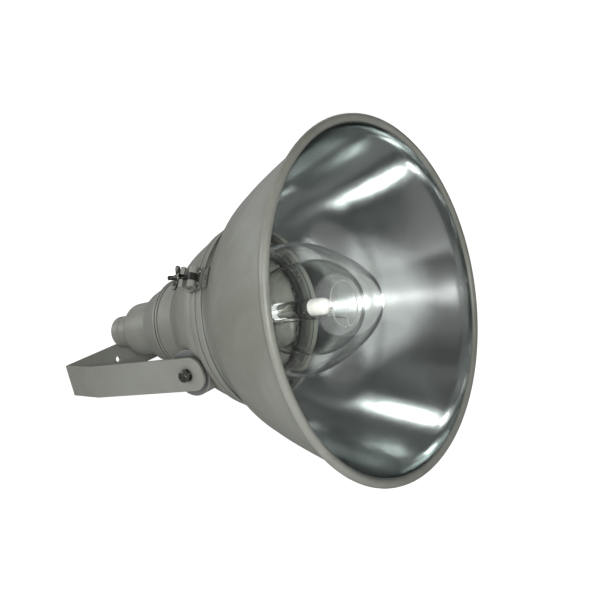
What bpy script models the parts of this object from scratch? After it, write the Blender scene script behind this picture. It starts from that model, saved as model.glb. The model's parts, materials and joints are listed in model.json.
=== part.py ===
# Floodlight with a spun bell reflector, a clamped lamp housing and a bent strap bracket.
# Everything is in metres, with +Z up and the floor at z = 0. The lamp is drawn in its own
# frame: y runs back from the plane of the mouth, and r is the distance from the lamp's axis.

import math

import bmesh
import bpy
from mathutils import Matrix, Vector

# Fits
gap = 0.0003
bolt_play = 0.0005
run_out = 0.001
cut_past = 0.010

# Reflector
mouth_radius = 0.280
bead_radius = 0.007
neck_radius = 0.1442
neck_depth = 0.237
shell_wall = 0.0015
bell_shape = ((0, 1), (0.20, 0.853), (0.40, 0.705), (0.58, 0.556), (0.76, 0.373), (1, 0))
liner_wall = 0.001
liner_space = 0.0008
liner_front = 0.0055
liner_lip = 0.014

# Clamp ring on the reflector's neck
ring_overlap = 0.0065
ring_reach = 0.010
ring_rise = 0.0176
ring_slope = 0.347
ring_wall = 0.003
ring_lip = 0.0042
gasket_thickness = 0.0017

# Lamp housing
flange_length = 0.0161
flange_step = 0.005
housing_wall = 0.003
housing_length = 0.1535
housing_shape = ((0, 1), (0.13, 0.925), (0.26, 0.80), (0.39, 0.648), (0.52, 0.43),
                 (0.61, 0.27), (0.69, 0.155), (0.84, 0.066), (1, 0))
spigot_length = 0.008
spigot_wall = 0.0025
step_radius = 0.0782
lip_radius = 0.0800
lip_width = 0.0045
seam_gasket = 0.0012

# Rear housing
cone_length = 0.040
cone_end_radius = 0.0632
drum_radius = 0.050
drum_taper = 0.003
drum_length = 0.077
drum_round = 0.013
rear_wall = 0.004

# Cable gland
gland_radius = 0.0285
gland_body_length = 0.030
gland_nut_length = 0.0203
gland_round = 0.0055
gland_shank_radius = 0.013
gland_locknut_radius = 0.019
gland_locknut_length = 0.006
cable_radius = 0.007
seal_wall = 0.005
seal_depth = 0.012
seal_squeeze = 0.002

# Lens carrier and glass dome
pocket_step = 0.001
ledge_depth = 0.006
ledge_width = 0.007
ledge_thickness = 0.005
carrier_wall = 0.002
carrier_bore = 0.104
dome_radius = 0.108
dome_wall = 0.004
dome_flange_width = 0.0055
dome_flange_thickness = 0.004
dome_skirt = 0.0882
dome_height = 0.1445
dome_power = 1.2
dome_seat = 0.0015
dome_gasket_width = 0.0048
clip_count = 3
clip_width = 0.012
clip_thickness = 0.0015
clip_screw_head = 0.0033
clip_margin = 0.0016
clip_hook = 0.006
screw_radius = 0.002
screw_head_radius = 0.0038
screw_head_height = 0.0022

# Lamp
bulb_radius = 0.076
bulb_length = 0.324
bulb_to_widest = 0.240
bulb_neck_radius = 0.023
bulb_neck_length = 0.033
bulb_wall = 0.0016
bulb_shape = ((0, 1), (0.25, 0.90), (0.5, 0.60), (0.75, 0.22), (1, 0))
neck_pinch = 0.0025
cap_radius = 0.0198
cap_length = 0.046
cap_proud = 0.006
thread_depth = 0.0009
thread_turns = 5
thread_start = 0.008
thread_stop = 0.004
cap_sheet = 0.001
cap_collar = 0.006
cap_play = 0.0005
eyelet_radius = 0.006
eyelet_length = 0.003
arc_radius = 0.0135
lead_length = 0.050
arc_length = 0.142
arc_end_length = 0.034
stem_radius = 0.011
stem_length = 0.078
stem_nose = 0.010
stem_flare = 0.020
wire_radius = 0.0011
frame_offset = 0.0195
frame_bend = 0.006
frame_foot = 0.016
spring_ring_radius = 0.036
spring_ring_reach = 0.298

# Lamp holder
holder_radius = 0.032
holder_length = 0.0756
holder_base = 0.010
holder_lip = 0.001
shell_sheet = 0.0012
contact_radius = 0.004
bridge_thickness = 0.002
bridge_width = 0.026
holder_screw_place = 0.021
holder_screw_depth = 0.008
bridge_screw_place = 0.0525
bridge_screw_bite = 0.0021
bite_space = 0.0004
block_length = 0.030
block_width = 0.018
block_depth = 0.020

# Bracket and tilt pivot
pivot_back = 0.0552
pivot_drop = 0.051
bracket_half_width = 0.146
strap_width = 0.055
strap_thickness = 0.0056
arm_front = 0.044
arm_length = 0.226
arm_corner = 0.018
arm_clearance = 0.0015
side_clearance = 0.0008
bend_length = 0.0985
bend_inset = 0.0258
bend_round = 0.012
mount_hole_radius = 0.0055
side_hole_radius = 0.0065
side_hole_place = 0.080
boss_radius = 0.0385
boss_root = 0.085
disc_radius = 0.026
disc_thickness = 0.003
disc_edge = 0.001
rib_width = 0.030
rib_inset = 0.006
rib_root = 0.115
bolt_radius = 0.005
bolt_engagement = 0.020
bolt_run_out = 0.002
bolt_head_flats = 0.017
bolt_head_height = 0.0064
washer_radius = 0.0105
washer_thickness = 0.002
spring_washer_radius = 0.0088
spring_washer_thickness = 0.0024
spring_washer_split = 0.002

# Latch, set round the ring at an angle above the horizontal
latch_angle = math.radians(36)
latch_pin_back = 0.007
latch_pin_rise = 0.0082
latch_lean = math.radians(14)
latch_pin_end = 0.0015
pin_radius = 0.003
knuckle_radius = 0.0065
knuckle_width = 0.0105
knuckle_space = 0.012
base_rise = 0.0035
base_margin = 0.0008
base_screw_place = 0.010
base_screw_head = 0.0028
catch_screw_place = 0.0119
catch_screw_inset = 0.0045
catch_screw_bite = 0.006
pad_width = 0.030
pad_length = 0.014
pad_rise = 0.003
pad_lift = 0.0012
pad_space = 0.001
pocket_length = 0.008
pocket_width = 0.010
eye_bolt_radius = 0.0035
eye_bolt_length = 0.043
catch_reach = 0.0205
catch_thickness = 0.0065
catch_width = 0.033
catch_foot = 0.0032
catch_rise = math.radians(14)
catch_fall = math.radians(32)
catch_margin = 0.0008
catch_root = 0.006
catch_slot_play = 0.0006
nut_radius = 0.0062
nut_length = 0.0075
wing_length = 0.0135
wing_thickness = 0.003
latch_washer_radius = 0.0075
latch_washer_thickness = 0.0016

# Hinge of the reflector ring, opposite the latch
hinge_angle = math.radians(-50)
hinge_pin_rise = 0.0047
hinge_pin_back = 0.0011
hinge_knuckle_width = 0.010
hinge_pin_end = 0.003

# Fineness of the turned shapes
steps_large = 36
steps_medium = 24
steps_small = 16
steps_tiny = 8

# Places along the lamp, from the neck back to the gland
ring_front = neck_depth - ring_overlap
ring_rear = neck_depth + ring_reach
ring_front_radius = neck_radius + ring_rise
ring_bore = neck_radius - ring_lip
housing_front = ring_rear + gasket_thickness + 2 * gap
flange_rear = housing_front + flange_length
seam_depth = flange_rear + housing_length
rear_start = seam_depth + seam_gasket + 2 * gap
cone_start = rear_start + lip_width
step_depth = cone_start + cone_length
step_face = step_depth - housing_wall
drum_end = step_depth + drum_length
spigot_radius = step_radius - housing_wall - gap
pivot_depth = housing_front + pivot_back
boss_face = bracket_half_width - strap_thickness - 2 * gap - disc_thickness

# Places of the dome and its clips
pocket_radius = ring_bore + pocket_step
carrier_face = housing_front + ledge_depth
dome_flange_radius = dome_radius + dome_flange_width
gasket_rear = carrier_face - gap
dome_flange_rear = gasket_rear - dome_seat - gap
dome_flange_front = dome_flange_rear - dome_flange_thickness
dome_shoulder = dome_flange_front - dome_skirt
dome_apex = dome_shoulder - dome_height
gasket_front = dome_flange_front - gap - dome_seat
gasket_radius = dome_flange_radius + gap + dome_gasket_width
clip_foot = gasket_radius + gap
clip_length = pocket_radius - clip_margin - clip_foot
clip_screw_place = pocket_radius - ledge_width / 2
clip_grip = clip_thickness + gap + carrier_wall + ledge_thickness * 0.8

# Places of the holder and, forward from its cap, the lamp
bridge_front = step_face - gap - bridge_thickness
holder_rear = bridge_front - gap
holder_front = holder_rear - holder_length
cap_front = holder_front - cap_proud
cap_end = cap_front + cap_length
bulb_nose = cap_front - bulb_length
bulb_widest = cap_front - bulb_to_widest
bulb_neck = cap_front - bulb_neck_length
stem_front = cap_front - stem_length
arc_front = stem_front - lead_length - arc_length
spring_ring_place = cap_front - spring_ring_reach

# Places of the latch and the hinge on the ring
latch_pin_depth = neck_depth + latch_pin_back
latch_pin_radius = ring_front_radius + latch_pin_rise
base_front = ring_front + base_margin
base_screw_depth = base_front + base_screw_head + gap
catch_screw_depth = housing_front + catch_screw_inset
hinge_pin_depth = ring_rear + hinge_pin_back
hinge_pin_radius = ring_front_radius + hinge_pin_rise

# The lamp leans back until the bead and the rear edge of the bracket touch the floor together
bracket_rear = pivot_depth + arm_length + bend_length
bead_centre = mouth_radius - bead_radius
reach_back = bracket_rear - bead_radius
reach_down = bead_centre - pivot_drop - strap_width / 2
arm_reach = math.hypot(arm_front - arm_corner, strap_width / 2 - arm_corner) + arm_corner
tilt = math.atan2(reach_down, reach_back) + math.asin(bead_radius / math.hypot(reach_back, reach_down))

paint = (0.34, 0.345, 0.32, 1)
finishes = {
    "paint": (paint, 0.0, 0.45),
    "dark_paint": ((0.16, 0.17, 0.16, 1), 0.0, 0.5),
    "bright_aluminium": ((0.80, 0.81, 0.81, 1), 1.0, 0.18),
    "steel": ((0.55, 0.55, 0.54, 1), 1.0, 0.35),
    "black_steel": ((0.03, 0.03, 0.03, 1), 0.6, 0.45),
    "rubber": ((0.015, 0.015, 0.015, 1), 0.0, 0.7),
    "glass": ((0.95, 0.97, 0.96, 1), 0.0, 0.02),
    "ceramic": ((0.85, 0.84, 0.80, 1), 0.0, 0.4),
    "brass": ((0.72, 0.55, 0.25, 1), 1.0, 0.3),
}
materials = {}
sides = ((-1, "left"), (1, "right"))


# Scene and materials

def clear_scene():
    for found in list(bpy.data.objects):
        bpy.data.objects.remove(found)


def finish_of(name):
    if name not in materials:
        color, metallic, roughness = finishes[name]
        made = bpy.data.materials.new(name)
        made.use_nodes = True
        made.diffuse_color = color
        shader = made.node_tree.nodes["Principled BSDF"]
        shader.inputs["Base Color"].default_value = color
        shader.inputs["Metallic"].default_value = metallic
        shader.inputs["Roughness"].default_value = roughness
        if name == "glass":
            shader.inputs["Transmission Weight"].default_value = 1.0
        materials[name] = made
    return materials[name]


def empty(name, parent=None, place=(0, 0, 0), turn=(0, 0, 0)):
    made = bpy.data.objects.new(name, None)
    made.parent = parent
    made.location = place
    made.rotation_euler = turn
    bpy.context.scene.collection.objects.link(made)
    return made


def piece(name, mesh, finish, parent):
    made = bpy.data.objects.new(name, mesh.to_object())
    made.data.name = name
    made.data.materials.append(finish_of(finish))
    made.data.shade_smooth()
    made.data.set_sharp_from_angle(angle=math.radians(32))
    made.parent = parent
    bpy.context.scene.collection.objects.link(made)
    return made


def shaped_by(target, operation, mesh, parent):
    """Cuts a shape from a piece, or joins one to it, with a hidden guide object."""
    guide = bpy.data.objects.new(target.name + "_guide", mesh.to_object())
    guide.parent = parent
    guide.hide_render = True
    guide.display_type = "WIRE"
    bpy.context.scene.collection.objects.link(guide)
    boolean = target.modifiers.new(operation.lower(), "BOOLEAN")
    boolean.operation = operation
    boolean.solver = "EXACT"
    boolean.object = guide
    return guide


# Shapes

class Shape:
    """A mesh under construction, holding one or more closed solids."""

    def __init__(self):
        self.mesh = bmesh.new()

    def to_object(self):
        bmesh.ops.recalc_face_normals(self.mesh, faces=self.mesh.faces)
        data = bpy.data.meshes.new("shape")
        self.mesh.to_mesh(data)
        self.mesh.free()
        return data

    def take(self, verts, matrix=None):
        if matrix is not None:
            bmesh.ops.transform(self.mesh, matrix=matrix, verts=verts)
        return self

    def turned(self, profile, steps, matrix=None, start=0.0):
        """Turns a closed profile of (y, r) points about the y axis."""
        rings = []
        for y, r in profile:
            if r < 1e-7:
                rings.append([self.mesh.verts.new((0, y, 0))])
                continue
            ring = []
            for step in range(steps):
                angle = start + math.tau * step / steps
                ring.append(self.mesh.verts.new((r * math.cos(angle), y, r * math.sin(angle))))
            rings.append(ring)
        for here, there in zip(rings, rings[1:] + rings[:1]):
            if len(here) == 1 and len(there) == 1:
                continue
            for step in range(steps):
                after = (step + 1) % steps
                corners = [here[step % len(here)], here[after % len(here)],
                           there[after % len(there)], there[step % len(there)]]
                self.mesh.faces.new(dict.fromkeys(corners))
        return self.take([vert for ring in rings for vert in ring], matrix)

    def rod(self, start, end, radius, steps=steps_tiny):
        """A round bar between two points."""
        start, end = Vector(start), Vector(end)
        along = end - start
        turn = along.to_track_quat("Z", "Y").to_matrix().to_4x4()
        bmesh.ops.create_cone(self.mesh, cap_ends=True, segments=steps, radius1=radius, radius2=radius,
                              depth=along.length, matrix=Matrix.Translation((start + end) / 2) @ turn)
        return self

    def block(self, low, high, matrix=None):
        size = [high[axis] - low[axis] for axis in range(3)]
        middle = [(high[axis] + low[axis]) / 2 for axis in range(3)]
        place = Matrix.Translation(middle) @ Matrix.Diagonal((*size, 1))
        if matrix is not None:
            place = matrix @ place
        bmesh.ops.create_cube(self.mesh, size=1, matrix=place)
        return self

    def plate(self, outline, low, high, matrix=None):
        """Extrudes an outline of (y, z) points along x."""
        base = [self.mesh.verts.new((low, y, z)) for y, z in outline]
        far = [self.mesh.verts.new((high, y, z)) for y, z in outline]
        count = len(outline)
        self.mesh.faces.new(base)
        self.mesh.faces.new(far)
        for index in range(count):
            after = (index + 1) % count
            self.mesh.faces.new((base[index], base[after], far[after], far[index]))
        return self.take(base + far, matrix)

    def tube(self, path, radius, closed=False, sides=8, matrix=None):
        """A bent wire through a list of points."""
        points = [Vector(point) for point in path]
        count = len(points)
        rings = []
        normal = None
        for index, point in enumerate(points):
            before = points[index - 1] if index or closed else point
            after = points[(index + 1) % count] if index < count - 1 or closed else point
            along = (after - before).normalized()
            if normal is None:
                normal = along.orthogonal()
            normal = (normal - along * normal.dot(along)).normalized()
            across = along.cross(normal)
            turns = [math.tau * side / sides for side in range(sides)]
            spokes = [normal * math.cos(turn) + across * math.sin(turn) for turn in turns]
            rings.append([self.mesh.verts.new(point + radius * spoke) for spoke in spokes])
        pairs = list(zip(rings, rings[1:] + rings[:1])) if closed else list(zip(rings, rings[1:]))
        for here, there in pairs:
            for side in range(sides):
                after = (side + 1) % sides
                self.mesh.faces.new((here[side], here[after], there[after], there[side]))
        if not closed:
            self.mesh.faces.new(rings[0])
            self.mesh.faces.new(rings[-1])
        return self.take([vert for ring in rings for vert in ring], matrix)


def smooth_through(points, parts):
    """A Catmull-Rom curve through points, with a number of parts in each span."""
    first = tuple(2 * a - b for a, b in zip(points[0], points[1]))
    last = tuple(2 * a - b for a, b in zip(points[-1], points[-2]))
    chain = [first, *points, last]
    curve = []
    for p0, p1, p2, p3 in zip(chain, chain[1:], chain[2:], chain[3:]):
        for part in range(parts):
            t = part / parts
            curve.append(tuple(0.5 * (2 * b + (c - a) * t + (2 * a - 5 * b + 4 * c - d) * t * t
                                      + (3 * b - a - 3 * c + d) * t ** 3)
                               for a, b, c, d in zip(p0, p1, p2, p3)))
    return curve + [points[-1]]


def arc(centre, radius, start, end, parts):
    """Points on an arc of a profile, with angles in degrees from +y towards +r."""
    turns = [math.radians(start + (end - start) * part / parts) for part in range(parts + 1)]
    return [(centre[0] + radius * math.cos(turn), centre[1] + radius * math.sin(turn)) for turn in turns]


def read_line(line, y):
    """The radius at depth y on a line of (y, r) points."""
    for (y0, r0), (y1, r1) in zip(line, line[1:]):
        if y0 <= y <= y1:
            return r0 + (r1 - r0) * (y - y0) / (y1 - y0)
    return line[0][1] if y < line[0][0] else line[-1][1]


def inside(line, depth):
    """A line moved towards the axis by a wall's thickness, measured square to the line."""
    moved = []
    for index, (y, r) in enumerate(line):
        y0, r0 = line[max(index - 1, 0)]
        y1, r1 = line[min(index + 1, len(line) - 1)]
        slope = (r1 - r0) / (y1 - y0)
        moved.append((y, r - depth * math.sqrt(1 + slope * slope)))
    return moved


def around(angle):
    """Turns a shape about the lamp's axis, so that its +z points outwards at an angle."""
    return Matrix.Rotation(angle - math.pi / 2, 4, Vector((0, -1, 0)))


def screw_at(shape, place, direction, shank, head=screw_head_radius, tall=screw_head_height,
             radius=screw_radius):
    """A pan-head screw whose head sits on a face at place, with its shank along direction."""
    turn = Matrix.Translation(place) @ Vector(direction).to_track_quat("Y", "Z").to_matrix().to_4x4()
    outline = [(shank, 0), (shank, radius), (-gap, radius), (-gap, head), (-gap - tall * 0.6, head),
               (-gap - tall, head * 0.7), (-gap - tall, 0)]
    return shape.turned(outline, steps_tiny, turn)


# Lines that several pieces share

def bell_line():
    depth = neck_depth - bead_radius
    spread = bead_centre - neck_radius
    curve = smooth_through(bell_shape, 2)
    return [(bead_radius + depth * t, neck_radius + spread * f) for t, f in curve]


def ring_radius(y):
    return ring_front_radius - ring_slope * (y - ring_front)


def housing_line():
    start_radius = ring_radius(flange_rear) - flange_step
    curve = smooth_through(housing_shape, 1)
    fall = start_radius - step_radius
    return [(flange_rear + housing_length * t, step_radius + fall * f) for t, f in curve]


# Reflector

def make_shell(parent):
    end = neck_depth - shell_wall
    outer = [point for point in bell_line() if 2 * bead_radius < point[0] < end]
    outer.append((end, read_line(bell_line(), end)))
    inner = inside(outer, shell_wall)
    lowest = 90 - math.degrees(tilt)
    bead = arc((bead_radius, bead_centre), bead_radius, lowest - 90, lowest + 240, 11)
    flange_radius = ring_radius(neck_depth) - ring_wall - gap
    neck = [(neck_depth, inner[-1][1]), (neck_depth, flange_radius), (end, flange_radius)]
    piece("reflector_shell", Shape().turned(bead + inner + neck + outer[::-1], steps_large), "paint", parent)


def make_liner(parent):
    """The polished sheet inside the painted bell, tucked under the bead in front."""
    curve = [point for point in bell_line() if 1.5 * liner_lip < point[0] < neck_depth - shell_wall]
    outer = inside(curve, shell_wall + liner_space)
    inner = inside(curve, shell_wall + liner_space + liner_wall)
    bead_inner = bead_centre - bead_radius - gap
    end = inside(bell_line(), shell_wall + liner_space)[-1][1]
    front = [(liner_front, bead_inner), (liner_lip, bead_inner)]
    front_inside = [(y, r - liner_wall) for y, r in front]
    rear = [(neck_depth, end), (neck_depth, end - liner_wall)]
    outline = front + outer + rear + inner[::-1] + front_inside[::-1]
    piece("reflector_liner", Shape().turned(outline, steps_large), "bright_aluminium", parent)


def make_ring(parent):
    face = neck_depth + gap
    outline = [(ring_front, ring_radius(ring_front)), (ring_rear, ring_radius(ring_rear)),
               (ring_rear, ring_bore), (face, ring_bore), (face, ring_radius(face) - ring_wall),
               (ring_front, ring_radius(ring_front) - ring_wall)]
    ring = piece("reflector_ring", Shape().turned(outline, steps_large), "paint", parent)
    shaped_by(ring, "UNION", hinge_knuckles(ring_front + ring_wall, ring_rear, (-1, 1)), parent)
    shaped_by(ring, "DIFFERENCE", hinge_bore(), parent)
    shaped_by(ring, "DIFFERENCE", base_screw_holes(), parent)
    front = ring_rear + gap
    rear = housing_front - gap
    outline = [(front, ring_bore), (front, ring_radius(front) - gap), (rear, ring_radius(rear) - gap),
               (rear, ring_bore)]
    piece("ring_gasket", Shape().turned(outline, steps_medium), "rubber", parent)


# Hinge of the reflector ring

def hinge_knuckles(front, rear, places):
    """Knuckles that rise from a ring to the hinge pin, at places counted in knuckles along it."""
    leaf = Shape()
    for place in places:
        middle = place * (hinge_knuckle_width + 2 * gap)
        low = hinge_pin_radius - 2 * pin_radius
        outline = [(rear, low), (rear, ring_radius(rear) - ring_wall / 2),
                   (front, ring_radius(front) - ring_wall / 2), (front, low)]
        outline += arc((hinge_pin_depth, hinge_pin_radius), 2 * pin_radius, 200, -20, 9)
        half = hinge_knuckle_width / 2
        leaf.plate(outline, middle - half, middle + half, around(hinge_angle))
    return leaf


def hinge_bar(radius, extra):
    half = hinge_knuckle_width * 1.5 + extra
    turn = around(hinge_angle)
    ends = [turn @ Vector((side * half, hinge_pin_depth, hinge_pin_radius)) for side in (-1, 1)]
    return Shape().rod(*ends, radius)


def hinge_bore():
    return hinge_bar(pin_radius + gap, hinge_pin_end + run_out)


# Housing

def make_housing(parent):
    line = housing_line()
    ledge_front = carrier_face + carrier_wall + gap
    ledge_rear = ledge_front + ledge_thickness
    outer = [(housing_front, ring_radius(housing_front)), (flange_rear, ring_radius(flange_rear)), *line[:-1]]
    lip_front = seam_depth - lip_width
    outer = [point for point in outer if point[0] < lip_front]
    outer += [(lip_front, step_radius), (lip_front, lip_radius), (seam_depth, lip_radius)]
    wall = inside(line, housing_wall)
    inner = [(seam_depth, wall[-1][1]), *wall[-2:0:-1], (flange_rear, wall[0][1]), (ledge_rear, wall[0][1]),
             (ledge_rear, pocket_radius - ledge_width), (ledge_front, pocket_radius - ledge_width),
             (ledge_front, pocket_radius), (housing_front, pocket_radius)]
    housing = piece("housing_bell", Shape().turned(outer + inner, steps_large), "paint", parent)
    for side in (-1, 1):
        boss = Shape().rod((side * boss_root, pivot_depth, -pivot_drop),
                           (side * boss_face, pivot_depth, -pivot_drop), boss_radius, steps_medium)
        shaped_by(housing, "UNION", boss, parent)
        low, high = sorted((side * (boss_face - rib_inset), side * rib_root))
        rib = Shape().block((low, flange_rear - flange_length / 2, -pivot_drop - rib_width / 2),
                            (high, pivot_depth, -pivot_drop + rib_width / 2))
        shaped_by(housing, "UNION", rib, parent)
        inner_side = side * (bracket_half_width - strap_thickness - side_clearance)
        outer_side = side * (bracket_half_width + side_clearance)
        relief = Shape().rod((inner_side, pivot_depth, -pivot_drop), (outer_side, pivot_depth, -pivot_drop),
                             arm_reach + arm_clearance, steps_large)
        shaped_by(housing, "DIFFERENCE", relief, parent)
    shaped_by(housing, "UNION", hinge_knuckles(housing_front, flange_rear, (0,)), parent)
    shaped_by(housing, "DIFFERENCE", hinge_bore(), parent)
    holes = clip_shanks(screw_radius + gap, run_out)
    for side in (-1, 1):
        holes.rod((side * (boss_face - bolt_engagement - bolt_run_out), pivot_depth, -pivot_drop),
                  (side * (boss_face + run_out), pivot_depth, -pivot_drop), bolt_radius + gap)
    shaped_by(housing, "DIFFERENCE", holes, parent)
    shaped_by(housing, "DIFFERENCE", catch_screw_holes(), parent)


# Rear housing and gland

def make_rear_housing(parent):
    bore = spigot_radius + 2 * gap
    front, end = seam_depth + gap, seam_depth + gap + seam_gasket
    outline = [(front, bore), (front, lip_radius), (end, lip_radius), (end, bore)]
    piece("seam_gasket", Shape().turned(outline, steps_medium), "rubber", parent)
    tail = drum_radius - drum_taper
    hole = gland_shank_radius + gap
    rounding = arc((drum_end - drum_round, tail - drum_round), drum_round, 90, 0, 4)
    hollow = arc((drum_end - drum_round, tail - drum_round), drum_round - housing_wall, 0, 90, 3)
    outer = [(rear_start, lip_radius), (cone_start, lip_radius), (cone_start, step_radius - housing_wall / 3),
             (step_depth, cone_end_radius), (step_depth, drum_radius), *rounding, (drum_end, hole)]
    inner = [(drum_end - rear_wall, hole), (drum_end - rear_wall, hollow[0][1]), *hollow[1:],
             (step_depth, drum_radius - housing_wall), (step_face, drum_radius - housing_wall),
             (step_face, cone_end_radius - housing_wall),
             (cone_start, step_radius - housing_wall - spigot_wall),
             (rear_start - spigot_length, spigot_radius - spigot_wall),
             (rear_start - spigot_length, spigot_radius), (rear_start, spigot_radius)]
    rear = piece("rear_housing", Shape().turned(outer + inner, steps_medium), "paint", parent)
    holes = Shape()
    for side in (-1, 1):
        x = side * bridge_screw_place
        holes.rod((x, step_face - run_out, 0), (x, step_face + bridge_screw_bite + bite_space, 0),
                  screw_radius + gap)
    shaped_by(rear, "DIFFERENCE", holes, parent)


def make_gland(parent):
    front = drum_end + gap
    end = front + gland_body_length
    inside_wall = drum_end - rear_wall
    seat = cable_radius + seal_wall
    shank_end = inside_wall - gland_locknut_length
    seal_end = end - seal_depth
    outline = [(shank_end, cable_radius), (shank_end, gland_shank_radius), (front, gland_shank_radius),
               (front, gland_radius), (end, gland_radius), (end, seat), (seal_end, seat),
               (seal_end, cable_radius)]
    piece("gland_body", Shape().turned(outline, steps_small), "paint", parent)
    outline = [(shank_end - gap, gland_shank_radius + gap), (shank_end - gap, gland_locknut_radius),
               (inside_wall - gap, gland_locknut_radius), (inside_wall - gap, gland_shank_radius + gap)]
    piece("gland_locknut", Shape().turned(outline, steps_small), "steel", parent)
    grip = cable_radius - seal_squeeze
    outline = [(seal_end + gap, grip), (seal_end + gap, seat - gap), (end, seat - gap), (end, grip)]
    piece("gland_seal", Shape().turned(outline, steps_small), "rubber", parent)
    start = end + gap
    finish = start + gland_nut_length
    outline = [(start, cable_radius), (start, gland_radius),
               *arc((finish - gland_round, gland_radius - gland_round), gland_round, 90, 0, 4),
               (finish, cable_radius)]
    piece("gland_nut", Shape().turned(outline, steps_small), "paint", parent)


# Lens carrier and glass dome

def clip_angles():
    return [math.tau * (index + 0.5) / clip_count for index in range(clip_count)]


def clip_shanks(radius, extra):
    """Bars along the clips' screws, for their holes."""
    shanks = Shape()
    for angle in clip_angles():
        x, z = clip_screw_place * math.cos(angle), clip_screw_place * math.sin(angle)
        front = carrier_face - gap - clip_thickness
        shanks.rod((x, front - extra, z), (x, front + clip_grip + extra, z), radius)
    return shanks


def make_carrier(parent):
    rear = carrier_face + carrier_wall
    outline = [(carrier_face, carrier_bore), (carrier_face, pocket_radius - gap), (rear, pocket_radius - gap),
               (rear, carrier_bore)]
    carrier = piece("lens_carrier", Shape().turned(outline, steps_large), "bright_aluminium", parent)
    shaped_by(carrier, "DIFFERENCE", clip_shanks(screw_radius + gap, run_out), parent)


def dome_line(radius, apex):
    depth = dome_shoulder - apex
    line = []
    for step in range(8):
        share = 1 - math.cos(math.pi / 2 * step / 7)
        y = dome_shoulder - depth * (1 - share)
        line.append((y, radius * math.sqrt(max(0, 1 - (1 - share) ** dome_power))))
    return line


def make_dome(parent):
    outer = dome_line(dome_radius, dome_apex)
    inner = dome_line(dome_radius - dome_wall, dome_apex + dome_wall)
    outline = [*outer, (dome_flange_front, dome_radius), (dome_flange_front, dome_flange_radius),
               (dome_flange_rear, dome_flange_radius), (dome_flange_rear, dome_radius - dome_wall),
               *inner[::-1]]
    piece("glass_dome", Shape().turned(outline, steps_medium), "glass", parent)
    lip = dome_radius + 2 * gap
    foot = dome_radius - 0.75 * dome_wall
    seat, edge = gasket_rear - dome_seat, dome_flange_radius + gap
    outline = [(gasket_rear, foot), (gasket_rear, gasket_radius), (gasket_front, gasket_radius),
               (gasket_front, lip), (dome_flange_front - gap, lip), (dome_flange_front - gap, edge),
               (seat, edge), (seat, foot)]
    piece("dome_gasket", Shape().turned(outline, steps_medium), "rubber", parent)
    face = carrier_face - gap
    top = gasket_front - gap
    tip = clip_foot - clip_hook
    back = clip_foot + clip_thickness
    outline = [(face, clip_foot), (face, clip_foot + clip_length),
               (face - clip_thickness, clip_foot + clip_length), (face - clip_thickness, back),
               (top - clip_thickness, back), (top - clip_thickness, tip), (top, tip), (top, clip_foot)]
    for number, angle in enumerate(clip_angles(), 1):
        sheet = Shape().plate(outline, -clip_width / 2, clip_width / 2, around(angle))
        clip = piece(f"dome_clip_{number}", sheet, "steel", parent)
        shaped_by(clip, "DIFFERENCE", clip_shanks(screw_radius + gap, run_out), parent)
        x, z = clip_screw_place * math.cos(angle), clip_screw_place * math.sin(angle)
        place = (x, face - clip_thickness, z)
        screw = screw_at(Shape(), place, (0, 1, 0), clip_grip, head=clip_screw_head)
        piece(f"clip_screw_{number}", screw, "steel", parent)


# Lamp

def bulb_line(shrink):
    """The bulb's outline from its nose to its neck, drawn in by a wall's thickness."""
    depth = bulb_widest - bulb_nose - shrink
    radius = bulb_radius - shrink
    line = []
    for step in range(6):
        turn = math.pi / 2 * step / 6
        line.append((bulb_widest - depth * math.cos(turn), radius * math.sin(turn)))
    span = bulb_neck - bulb_widest
    fall = bulb_radius - bulb_neck_radius
    line += [(bulb_widest + span * t, bulb_neck_radius + fall * f - shrink) for t, f in bulb_shape]
    return line + [(cap_front - gap, bulb_neck_radius - neck_pinch - shrink)]


def thread_line(start, end, radius):
    line = []
    pitch = (end - start) / thread_turns
    for turn in range(thread_turns):
        line += [(start + pitch * turn, radius - thread_depth), (start + pitch * (turn + 0.5), radius)]
    return line + [(end, radius - thread_depth)]


def make_lamp(parent):
    bulb = Shape().turned(bulb_line(0) + bulb_line(bulb_wall)[::-1], steps_medium)
    piece("lamp_bulb", bulb, "glass", parent)
    thread = thread_line(cap_front + thread_start, cap_end - thread_stop, cap_radius)
    hollow = cap_radius - thread_depth - cap_sheet
    tip = cap_end + eyelet_length
    collar = cap_radius + cap_play
    floor = cap_end - 2 * cap_sheet
    outline = [(cap_front, hollow), (cap_front, collar), (cap_front + cap_collar, collar), *thread,
               (cap_end, cap_radius * 0.8), (cap_end, eyelet_radius), (tip, eyelet_radius * 0.7), (tip, 0),
               (floor, 0), (floor, hollow)]
    piece("lamp_cap", Shape().turned(outline, steps_small), "brass", parent)
    flare = bulb_neck_radius - neck_pinch - bulb_wall - gap
    outline = [(stem_front, 0), (stem_front, stem_radius * 0.6), (stem_front + stem_nose, stem_radius),
               (cap_front - stem_flare, stem_radius), (cap_front - stem_flare / 5, flare),
               (cap_front - gap, flare), (cap_front - gap, 0)]
    piece("lamp_stem", Shape().turned(outline, steps_small), "glass", parent)
    make_arc_tube(parent)
    make_lamp_frame(parent)


def make_arc_tube(parent):
    rear = arc_front + arc_length
    middle_front = arc_front + arc_end_length
    middle_rear = rear - arc_end_length
    outline = [(middle_front + gap, 0), (middle_front + gap, arc_radius), (middle_rear - gap, arc_radius),
               (middle_rear - gap, 0)]
    piece("arc_tube", Shape().turned(outline, steps_small), "glass", parent)
    dome = arc((arc_front + arc_radius, 0), arc_radius, 180, 90, 4)
    end = Shape().turned([*dome, (middle_front, arc_radius), (middle_front, 0)], steps_small)
    piece("arc_tube_front_end", end, "ceramic", parent)
    dome = arc((rear - arc_radius, 0), arc_radius, 0, 90, 4)
    end = Shape().turned([*dome, (middle_rear, arc_radius), (middle_rear, 0)], steps_small)
    piece("arc_tube_rear_end", end, "ceramic", parent)


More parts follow.
